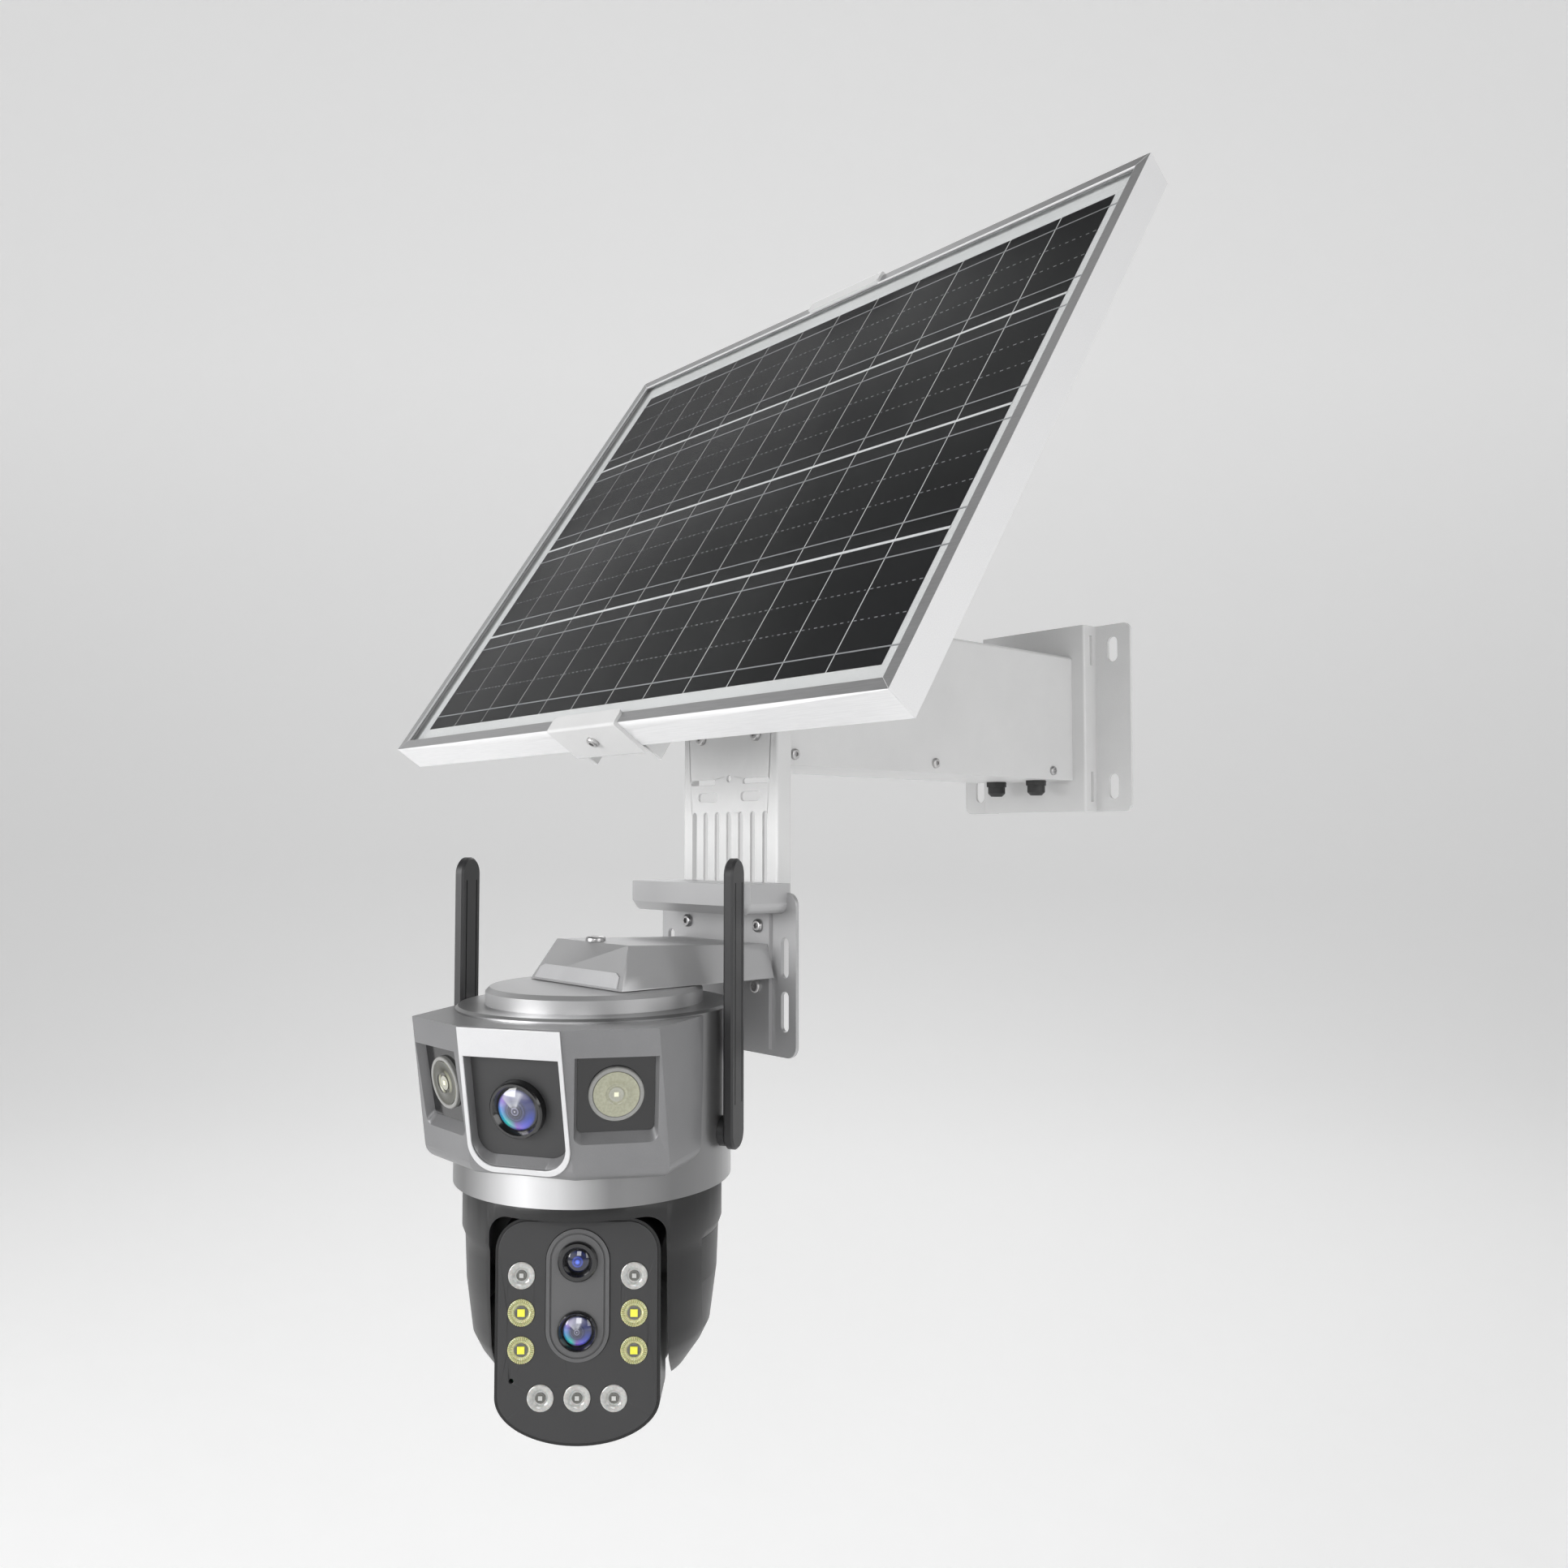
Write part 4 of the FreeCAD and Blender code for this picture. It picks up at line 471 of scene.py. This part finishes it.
def clear_material(name, low, high):
    """Moulded optical plastic over a bright reflector."""
    n = Nodes(name)
    haze = n.noise(700.0, 2.0)
    n.colour(n.ramp(haze, [(0.3, low), (0.7, high)]))
    n.rough(n.span(haze, 0.3, 0.7, 0.08, 0.2))
    n.set(Coat_Weight=0.8, Coat_Roughness=0.04, Subsurface_Weight=0.15, Subsurface_Scale=0.002)
    return n.material


# ------------------------------------------------------------------ mesh helpers
def make_piece(name, body, materials, build, matrix=None):
    """Mesh built by build(bm) in millimetres, placed by matrix, riding on a CAD body."""
    bm = bmesh.new()
    build(bm)
    bmesh.ops.remove_doubles(bm, verts=bm.verts, dist=1e-4)
    bmesh.ops.recalc_face_normals(bm, faces=bm.faces)
    bmesh.ops.scale(bm, verts=bm.verts, vec=(MM, MM, MM))
    if matrix is not None:
        bmesh.ops.transform(bm, verts=bm.verts, matrix=matrix)
    mesh = bpy.data.meshes.new(name)
    bm.to_mesh(mesh)
    bm.free()
    for material in materials:
        mesh.materials.append(material)
    piece = bpy.data.objects.new(name, mesh)
    bpy.context.scene.collection.objects.link(piece)
    smooth(piece, 35)
    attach(piece, body)
    return piece


def smooth(piece, degrees):
    """Smooth shading with edges sharper than the angle kept."""
    for polygon in piece.data.polygons:
        polygon.use_smooth = True
    piece.data.set_sharp_from_angle(angle=math.radians(degrees))


def block(bm, low, high, index=0):
    """Box between two corners."""
    corners = [bm.verts.new((x, y, z)) for x in (low[0], high[0]) for y in (low[1], high[1])
               for z in (low[2], high[2])]
    for quad in ((0, 1, 3, 2), (4, 6, 7, 5), (0, 4, 5, 1), (2, 3, 7, 6), (0, 2, 6, 4), (1, 5, 7, 3)):
        face = bm.faces.new([corners[i] for i in quad])
        face.material_index = index


def lathe(bm, profile, steps, matrix, index=0, flute=None):
    """Turns (radius, height) points about z; flute(radius, step) may ripple the height."""
    rings = []
    for radius, height in profile:
        ring = []
        for i in range(steps):
            a = 2 * math.pi * i / steps
            lift = flute(radius, i) if flute else 0.0
            point = Vector((radius * math.cos(a), radius * math.sin(a), height + lift))
            ring.append(bm.verts.new(matrix @ point))
        rings.append(ring)
    for lower, upper in zip(rings, rings[1:]):
        for i in range(steps):
            j = (i + 1) % steps
            face = bm.faces.new((lower[i], lower[j], upper[j], upper[i]))
            face.material_index = index
    for ring in (rings[0], rings[-1]):
        face = bm.faces.new(ring)
        face.material_index = index


paints = paint_nodes()


# ------------------------------------------------------------------ panel detail
# Places across a row, as shares of its height, and half widths in millimetres.
RIBBON_SHARES = (0.14, 0.86)
RIBBON_HALF = 0.45
DOT_SHARES = (0.38, 0.62)
DOT_HALF = 0.28
DOTS_PER_CELL = 8
LINK_HALF = 0.9
BEAD_HALF_W = 242.0
BEAD_HALF_H = 192.0
BEAD_HALF = 0.5


def ribbon_material():
    """Tinned copper ribbon."""
    return grained("ribbon_look", (0.42, 0.43, 0.45), (0.55, 0.56, 0.58), (0.3, 0.45), 900.0, 0.00002,
                   metallic=0.6)


def busbars(bm):
    """Two unbroken ribbons per row that run past the last cell."""
    for row in range(ROWS):
        for share in RIBBON_SHARES:
            y = -CELL_H / 2 + ROW_PITCH * (row + share)
            block(bm, (-CELL_W / 2 - 1, y - RIBBON_HALF, CELL_TOP),
                  (CELL_W / 2 + 5, y + RIBBON_HALF, CELL_TOP + 0.12))


def solder_dots(bm):
    """Two lines of solder pads per row between the ribbons."""
    step = COL_PITCH / DOTS_PER_CELL
    for row in range(ROWS):
        for share in DOT_SHARES:
            y = -CELL_H / 2 + ROW_PITCH * (row + share)
            for i in range(COLS * DOTS_PER_CELL):
                x = -CELL_W / 2 + (i + 0.5) * step
                half = 1.1 if i % 3 else 0.5
                block(bm, (x - half, y - DOT_HALF, CELL_TOP), (x + half, y + DOT_HALF, CELL_TOP + 0.08))


def row_links(bm):
    """Bright tinned links in the gaps between rows."""
    for row in range(1, ROWS):
        y = -CELL_H / 2 + ROW_PITCH * row
        block(bm, (-CELL_W / 2, y - LINK_HALF, CELL_TOP - 0.1), (CELL_W / 2, y + LINK_HALF, CELL_TOP + 0.1))


def glazing_bead(bm):
    """Black sealant bead where the glass meets the frame lip."""
    foot = -1.8
    top = -1.2
    for sign in (-1, 1):
        x = sign * BEAD_HALF_W
        y = sign * BEAD_HALF_H
        block(bm, (-BEAD_HALF_W, y - BEAD_HALF, foot), (BEAD_HALF_W, y + BEAD_HALF, top))
        block(bm, (x - BEAD_HALF, -BEAD_HALF_H, foot), (x + BEAD_HALF, BEAD_HALF_H, top))


def panel_detail():
    ribbon = ribbon_material()
    bright = grained("tinned_link_look", (0.62, 0.63, 0.64), (0.75, 0.76, 0.77), (0.35, 0.5), 500.0, 0.00002)
    bead = grained("bead_look", (0.16, 0.16, 0.16), (0.22, 0.22, 0.22), (0.5, 0.65), 900.0, 0.00004)
    here = panel_matrix()
    make_piece("cell_busbars", "solar_panel", [ribbon], busbars, here)
    make_piece("cell_solder_dots", "solar_panel", [ribbon], solder_dots, here)
    make_piece("cell_row_links", "solar_panel", [bright], row_links, here)
    make_piece("glazing_bead", "solar_panel", [bead], glazing_bead, here)


# ------------------------------------------------------------------ lamps
# Material slots of a lamp: its lens, chip and cup, and the ribs or the rim at its edge.
LENS_SLOT = 0
CHIP_SLOT = 1
CUP_SLOT = 2
EDGE_SLOT = 3

# Lamps, in millimetres: the pod's in the camera's own frame, and how far the flood lamps sit
# above the middle of their faces.
LED_R = 7.3
LED_STEPS = 144
RIPPLE = 0.16
RIB_COUNT = 40
SIDE_LAMP_X = 30.8
IR_TOP_Z = -42.2
IR_LOW_Z = -107.8
IR_LOW_X = (-20, 0, 20)
WHITE_Z = (-62.2, -82.2)
FLOOD_LIFT = 5.3


def led_profile(radius):
    """Rim and dish of a collimator as (radius, height) points."""
    outer = [(radius, -1.2), (radius, 0.15), (radius * 0.93, 0.5), (radius * 0.80, 0.42)]
    dish = [(radius * 0.62, 0.0), (radius * 0.53, -0.6), (radius * 0.30, -0.6)]
    return outer + dish


def ribs(bm, matrix):
    """Radial ribs moulded on the rim of a white lamp's collimator."""
    for i in range(RIB_COUNT):
        low = len(bm.verts)
        block(bm, (5.3, -0.17, 0.2), (6.95, 0.17, 0.62), EDGE_SLOT)
        bm.verts.ensure_lookup_table()
        turn = Matrix.Rotation(2 * math.pi * i / RIB_COUNT, 4, "Z")
        bmesh.ops.transform(bm, verts=bm.verts[low:], matrix=matrix @ turn)


def led_piece(name, replaced, spots, looks, ring, chip, fluted):
    """Collimators with a rim, a stepped cup, a ring in it and the square chip in the middle."""
    def ripple(r, i):
        if fluted and r > LED_R * 0.6:
            return RIPPLE if (i // 2) % 2 else -RIPPLE
        return 0.0

    def build(bm):
        for matrix in spots:
            lathe(bm, led_profile(LED_R), LED_STEPS, matrix, LENS_SLOT, ripple)
            cup = [(ring, -0.58), (ring, -0.1), (ring - 0.35, 0.06), (ring - 0.8, -0.1)]
            lathe(bm, cup, 48, matrix, CUP_SLOT)
            low = len(bm.verts)
            block(bm, (-chip, -chip, -0.2), (chip, chip, 0.3), CHIP_SLOT)
            bm.verts.ensure_lookup_table()
            bmesh.ops.transform(bm, verts=bm.verts[low:], matrix=matrix)
            if fluted:
                ribs(bm, matrix)

    piece = make_piece(name, "lens_pod", looks, build)
    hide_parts(replaced)


def scaled(matrix):
    """Same frame with its origin in millimetres."""
    out = matrix.copy()
    out.translation = matrix.translation / MM
    return out


def pod_lamps():
    """Five clear infrared lamps and four ribbed white ones on the pod's face."""
    chip_warm = grained("warm_chip_look", (0.78, 0.76, 0.04), (0.90, 0.88, 0.12), (0.4, 0.5), 900.0, 0.00003)
    chip_clear = grained("clear_chip_look", (0.45, 0.45, 0.44), (0.62, 0.62, 0.60), (0.3, 0.4), 900.0,
                         0.00003)
    cup = grained("lamp_cup_look", (0.10, 0.10, 0.09), (0.16, 0.16, 0.15), (0.2, 0.3), 900.0, 0.00003)
    rib = grained("lamp_rib_look", (0.26, 0.25, 0.10), (0.36, 0.35, 0.16), (0.3, 0.4), 900.0, 0.00003)
    infrared = [(s * SIDE_LAMP_X, IR_TOP_Z) for s in (-1, 1)] + [(x, IR_LOW_Z) for x in IR_LOW_X]
    white = [(s * SIDE_LAMP_X, z) for s in (-1, 1) for z in WHITE_Z]
    led_piece("ir_lamp_optics", "ir_led_lenses", [scaled(pod_face(x, z)) for x, z in infrared],
              [paints["ir_lens"], chip_clear, cup], 2.9, 1.15, False)
    led_piece("white_lamp_optics", "white_led_lenses", [scaled(pod_face(x, z)) for x, z in white],
              [paints["warm_lens"], chip_warm, cup, rib], 3.7, 2.0, True)


def flood_lamps():
    """Stepped floodlight optics over a square chip."""
    chip = grained("flood_chip_look", (0.85, 0.84, 0.62), (0.95, 0.94, 0.75), (0.3, 0.4), 900.0, 0.00003)
    cup = grained("flood_cup_look", (0.34, 0.34, 0.29), (0.44, 0.44, 0.38), (0.10, 0.2), 900.0, 0.00003)
    rim = grained("flood_rim_look", (0.24, 0.24, 0.23), (0.30, 0.30, 0.29), (0.10, 0.2), 900.0, 0.00003)
    rim_profile = [(14.6, -5.2), (14.6, -3.2), (14.2, -2.7), (12.6, -2.75), (12.3, -3.2)]
    lens_profile = [(12.3, -3.4), (12.1, -2.75), (10.8, -2.9), (7.2, -2.95), (6.6, -2.7), (5.6, -2.65),
                    (5.2, -2.95), (4.4, -3.1)]
    cup_profile = [(3.9, -3.2), (3.9, -2.8), (3.3, -2.7), (2.6, -3.0)]

    def build(bm):
        for side in (-1, 1):
            matrix = scaled(side_face(side) @ Matrix.Translation((0, FLOOD_LIFT * MM, 0)))
            lathe(bm, rim_profile, 96, matrix, EDGE_SLOT)
            lathe(bm, lens_profile, 96, matrix, LENS_SLOT)
            lathe(bm, cup_profile, 64, matrix, CUP_SLOT)
            low = len(bm.verts)
            block(bm, (-1.2, -1.2, -3.1), (1.2, 1.2, -2.7), CHIP_SLOT)
            bm.verts.ensure_lookup_table()
            bmesh.ops.transform(bm, verts=bm.verts[low:], matrix=matrix)

    piece = make_piece("flood_lamp_optics", "camera_head", [paints["lamp_lens"], chip, cup, rim],
                       build)
    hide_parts("lamp_lenses")


# ------------------------------------------------------------------ lenses
# Pod lenses, in millimetres: height on the pod's face, radius and rise of the front glass,
# and the radius that the look's rings are drawn to.
DOME_STEPS = 15
DOME_BASE = 0.2
UPPER_LENS_Z = -34.4
UPPER_LENS_R = 6.4
UPPER_LENS_RISE = 1.6
UPPER_LOOK_R = 6.5
LOWER_LENS_Z = -71.8
LOWER_LENS_R = 8.3
LOWER_LENS_RISE = 2.2
LOWER_LOOK_R = 8.4


def lens_dome(bm, matrix, radius, base, rise, index):
    """Front element as a spherical cap with a short ground edge."""
    ball = (radius * radius + rise * rise) / (2 * rise)
    profile = [(radius, base - 3.0), (radius, base)]
    for i in range(1, DOME_STEPS):
        r = radius * (1 - i / DOME_STEPS)
        profile.append((r, base + math.sqrt(ball * ball - r * r) - (ball - rise)))
    lathe(bm, profile, 96, matrix, index)


def pod_lenses():
    """Front glasses of the pod's two lenses; the upper one has no painted glare."""
    upper = pod_face(0, UPPER_LENS_Z)
    lower = pod_face(0, LOWER_LENS_Z)
    blue = lens_material("upper_lens_look", upper, UPPER_LOOK_R * MM, BLUE_RINGS, PAINTED_BLUE_SHEEN, 0.0)
    coated = lens_material("lower_lens_look", lower, LOWER_LOOK_R * MM, RINGS, PAINTED_COATING_SHEEN, PAINTED_LENS_GLARE)

    def build(bm):
        lens_dome(bm, scaled(upper), UPPER_LENS_R, DOME_BASE, UPPER_LENS_RISE, 0)
        lens_dome(bm, scaled(lower), LOWER_LENS_R, DOME_BASE, LOWER_LENS_RISE, 1)

    piece = make_piece("pod_front_elements", "lens_pod", [blue, coated], build)
    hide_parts("pod_lens_glasses")


# ------------------------------------------------------------------ edges
# Width in metres of the worked radius on each CAD node that gets one.
SOFT_EDGES = {
    "face_shell": 0.0008,
    "bracket_neck": 0.0012,
    "camera_bracket": 0.0008,
    "centre_bezel": 0.0004,
    "yoke_shell": 0.0006,
    "pod_face": 0.0004,
    "panel_frame_top": 0.0004,
    "panel_frame_bottom": 0.0004,
    "panel_frame_left": 0.0004,
    "panel_frame_right": 0.0004,
    "arm_housing": 0.0006,
    "camera_plate": 0.0004,
}
WELD_DISTANCE = 0.00002
EDGE_ANGLE = math.radians(30)


def soften(name, width):
    """Small worked radius on a CAD node's hard edges."""
    node = frame["nodes"][name]
    weld = node.modifiers.new("weld", "WELD")
    weld.merge_threshold = WELD_DISTANCE
    bevel = node.modifiers.new("bevel", "BEVEL")
    bevel.width = width
    bevel.segments = 2
    bevel.limit_method = "ANGLE"
    bevel.angle_limit = EDGE_ANGLE
    bevel.harden_normals = True


for edged_node, edge_width in SOFT_EDGES.items():
    soften(edged_node, edge_width)
panel_detail()
pod_lamps()
flood_lamps()
pod_lenses()


# ------------------------------------------------------------------ studio
VIEW_AZIMUTH = math.radians(48)
VIEW_DISTANCE = 0.86
VIEW_TARGET = Vector((0.0, -0.295, -0.060))
EYE_Z = -0.10
LAMP_TARGET = Vector((0, -0.35, -0.1))
KEY_AZIMUTH = math.radians(-10)
WORLD_SEEN = 0.88
FLOOR_GAP = 0.35
FLOOR_GLOW = 0.22
FLOOR_HALF_W = 9
FLOOR_FRONT = -6.0
SWEEP_START = 2.0
SWEEP_R = 3.0
SWEEP_STEPS = 12
WALL_TOP = 8.0

# Name, place, size in metres and power in watts of each lamp.
LAMPS = [("key", (-0.45, -2.5, 0.3), 1.2, 30),
         ("front_fill", (1.6, -2.0, 0.5), 0.8, 9),
         ("right_fill", (2.5, -0.2, 0.4), 1.6, 18),
         ("back_wash", (-1.5, 1.2, 1.8), 1.6, 20)]

# Brightness of the surroundings, from behind the key side round to it and from level to
# straight up.
WORLD_AROUND = [(0.0, 1.0), (0.3, 0.55), (0.62, 0.26), (0.76, 0.34), (0.90, 1.0), (1.0, 1.15)]
WORLD_ABOVE = [(0.0, 1.0), (0.22, 0.95), (0.50, 0.36), (1.0, 0.32)]


def studio_floor():
    """Pale floor that sweeps up into a back wall, turned to face the camera."""
    mesh = bpy.data.meshes.new("studio_floor")
    bm = bmesh.new()
    profile = [(FLOOR_FRONT, 0.0), (SWEEP_START, 0.0)]
    for i in range(1, SWEEP_STEPS + 1):
        a = math.radians(90 * i / SWEEP_STEPS)
        profile.append((SWEEP_START + SWEEP_R * math.sin(a), SWEEP_R * (1 - math.cos(a))))
    profile.append((SWEEP_START + SWEEP_R, WALL_TOP))
    rows = [[bm.verts.new((x, y, z)) for x in (-FLOOR_HALF_W, FLOOR_HALF_W)] for y, z in profile]
    for first, second in zip(rows, rows[1:]):
        bm.faces.new((first[0], first[1], second[1], second[0]))
    place = Matrix.Translation((0, 0, cad_box[0][2] - FLOOR_GAP)) @ Matrix.Rotation(VIEW_AZIMUTH, 4, "Z")
    bmesh.ops.transform(bm, verts=bm.verts, matrix=place)
    bm.to_mesh(mesh)
    bm.free()
    for polygon in mesh.polygons:
        polygon.use_smooth = True
    look = grained("studio_floor_look", (0.90, 0.90, 0.90), (0.92, 0.92, 0.92), (0.7, 0.8), 30.0, 0.0001)
    shader = look.node_tree.nodes["Principled BSDF"]
    shader.inputs["Emission Color"].default_value = (1, 1, 1, 1)
    shader.inputs["Emission Strength"].default_value = FLOOR_GLOW
    mesh.materials.append(look)
    floor = bpy.data.objects.new("studio_floor", mesh)
    bpy.context.scene.collection.objects.link(floor)


def studio_world():
    """Lights the part by WORLD_AROUND and WORLD_ABOVE; seen straight it is one pale tone."""
    world = bpy.data.worlds.new("studio_world")
    world.use_nodes = True
    tree = world.node_tree
    coords = tree.nodes.new("ShaderNodeTexCoord")
    axis = tree.nodes.new("ShaderNodeVectorMath")
    axis.operation = "DOT_PRODUCT"
    axis.inputs[1].default_value = (math.sin(KEY_AZIMUTH), -math.cos(KEY_AZIMUTH), 0)
    split = tree.nodes.new("ShaderNodeSeparateXYZ")
    tree.links.new(coords.outputs["Generated"], axis.inputs[0])
    tree.links.new(coords.outputs["Generated"], split.inputs[0])
    level = tree.nodes.new("ShaderNodeMapRange")
    level.inputs["From Min"].default_value = -1
    tree.links.new(axis.outputs["Value"], level.inputs["Value"])
    around = studio_ramp(tree, level.outputs["Result"], WORLD_AROUND)
    above = studio_ramp(tree, split.outputs["Z"], WORLD_ABOVE)
    both = tree.nodes.new("ShaderNodeMath")
    both.operation = "MULTIPLY"
    tree.links.new(around, both.inputs[0])
    tree.links.new(above, both.inputs[1])
    path = tree.nodes.new("ShaderNodeLightPath")
    seen = tree.nodes.new("ShaderNodeMix")
    seen.inputs["B"].default_value = WORLD_SEEN
    tree.links.new(path.outputs["Is Camera Ray"], seen.inputs["Factor"])
    tree.links.new(both.outputs[0], seen.inputs["A"])
    tree.links.new(seen.outputs["Result"], tree.nodes["Background"].inputs["Strength"])
    tree.nodes["Background"].inputs["Color"].default_value = (1, 1, 1, 1)
    bpy.context.scene.world = world


def studio_ramp(tree, value, stops):
    """Curve through (input, output) stops; outputs may pass 1."""
    node = tree.nodes.new("ShaderNodeFloatCurve")
    curve = node.mapping.curves[0]
    node.mapping.clip_max_y = 2
    for point, (x, y) in zip((curve.points[0], curve.points[1]), (stops[0], stops[-1])):
        point.location = (x, y)
    for x, y in stops[1:-1]:
        curve.points.new(x, y)
    node.mapping.update()
    tree.links.new(value, node.inputs["Value"])
    return node.outputs[0]


def lamp(name, place, size, power):
    """Area lamp aimed at the middle of the part."""
    data = bpy.data.lights.new(name, "AREA")
    data.size = size
    data.energy = power
    light = bpy.data.objects.new(name, data)
    light.location = place
    aim = LAMP_TARGET - light.location
    light.rotation_euler = aim.to_track_quat("-Z", "Y").to_euler()
    bpy.context.scene.collection.objects.link(light)


def camera():
    """Eye a little below the arm, looking slightly up."""
    data = bpy.data.cameras.new("view")
    data.lens = 29.0
    data.sensor_width = 36.0
    data.clip_start = 0.01
    cam = bpy.data.objects.new("view", data)
    reach = Vector((math.sin(VIEW_AZIMUTH), -math.cos(VIEW_AZIMUTH), 0)) * VIEW_DISTANCE
    cam.location = (VIEW_TARGET.x + reach.x, VIEW_TARGET.y + reach.y, EYE_Z)
    cam.rotation_euler = (VIEW_TARGET - cam.location).to_track_quat("-Z", "Y").to_euler()
    bpy.context.scene.collection.objects.link(cam)
    bpy.context.scene.camera = cam


studio_floor()
studio_world()
for lamp_name, lamp_place, lamp_size, lamp_power in LAMPS:
    lamp(lamp_name, lamp_place, lamp_size, lamp_power)
camera()
bpy.context.scene.view_settings.view_transform = "Standard"
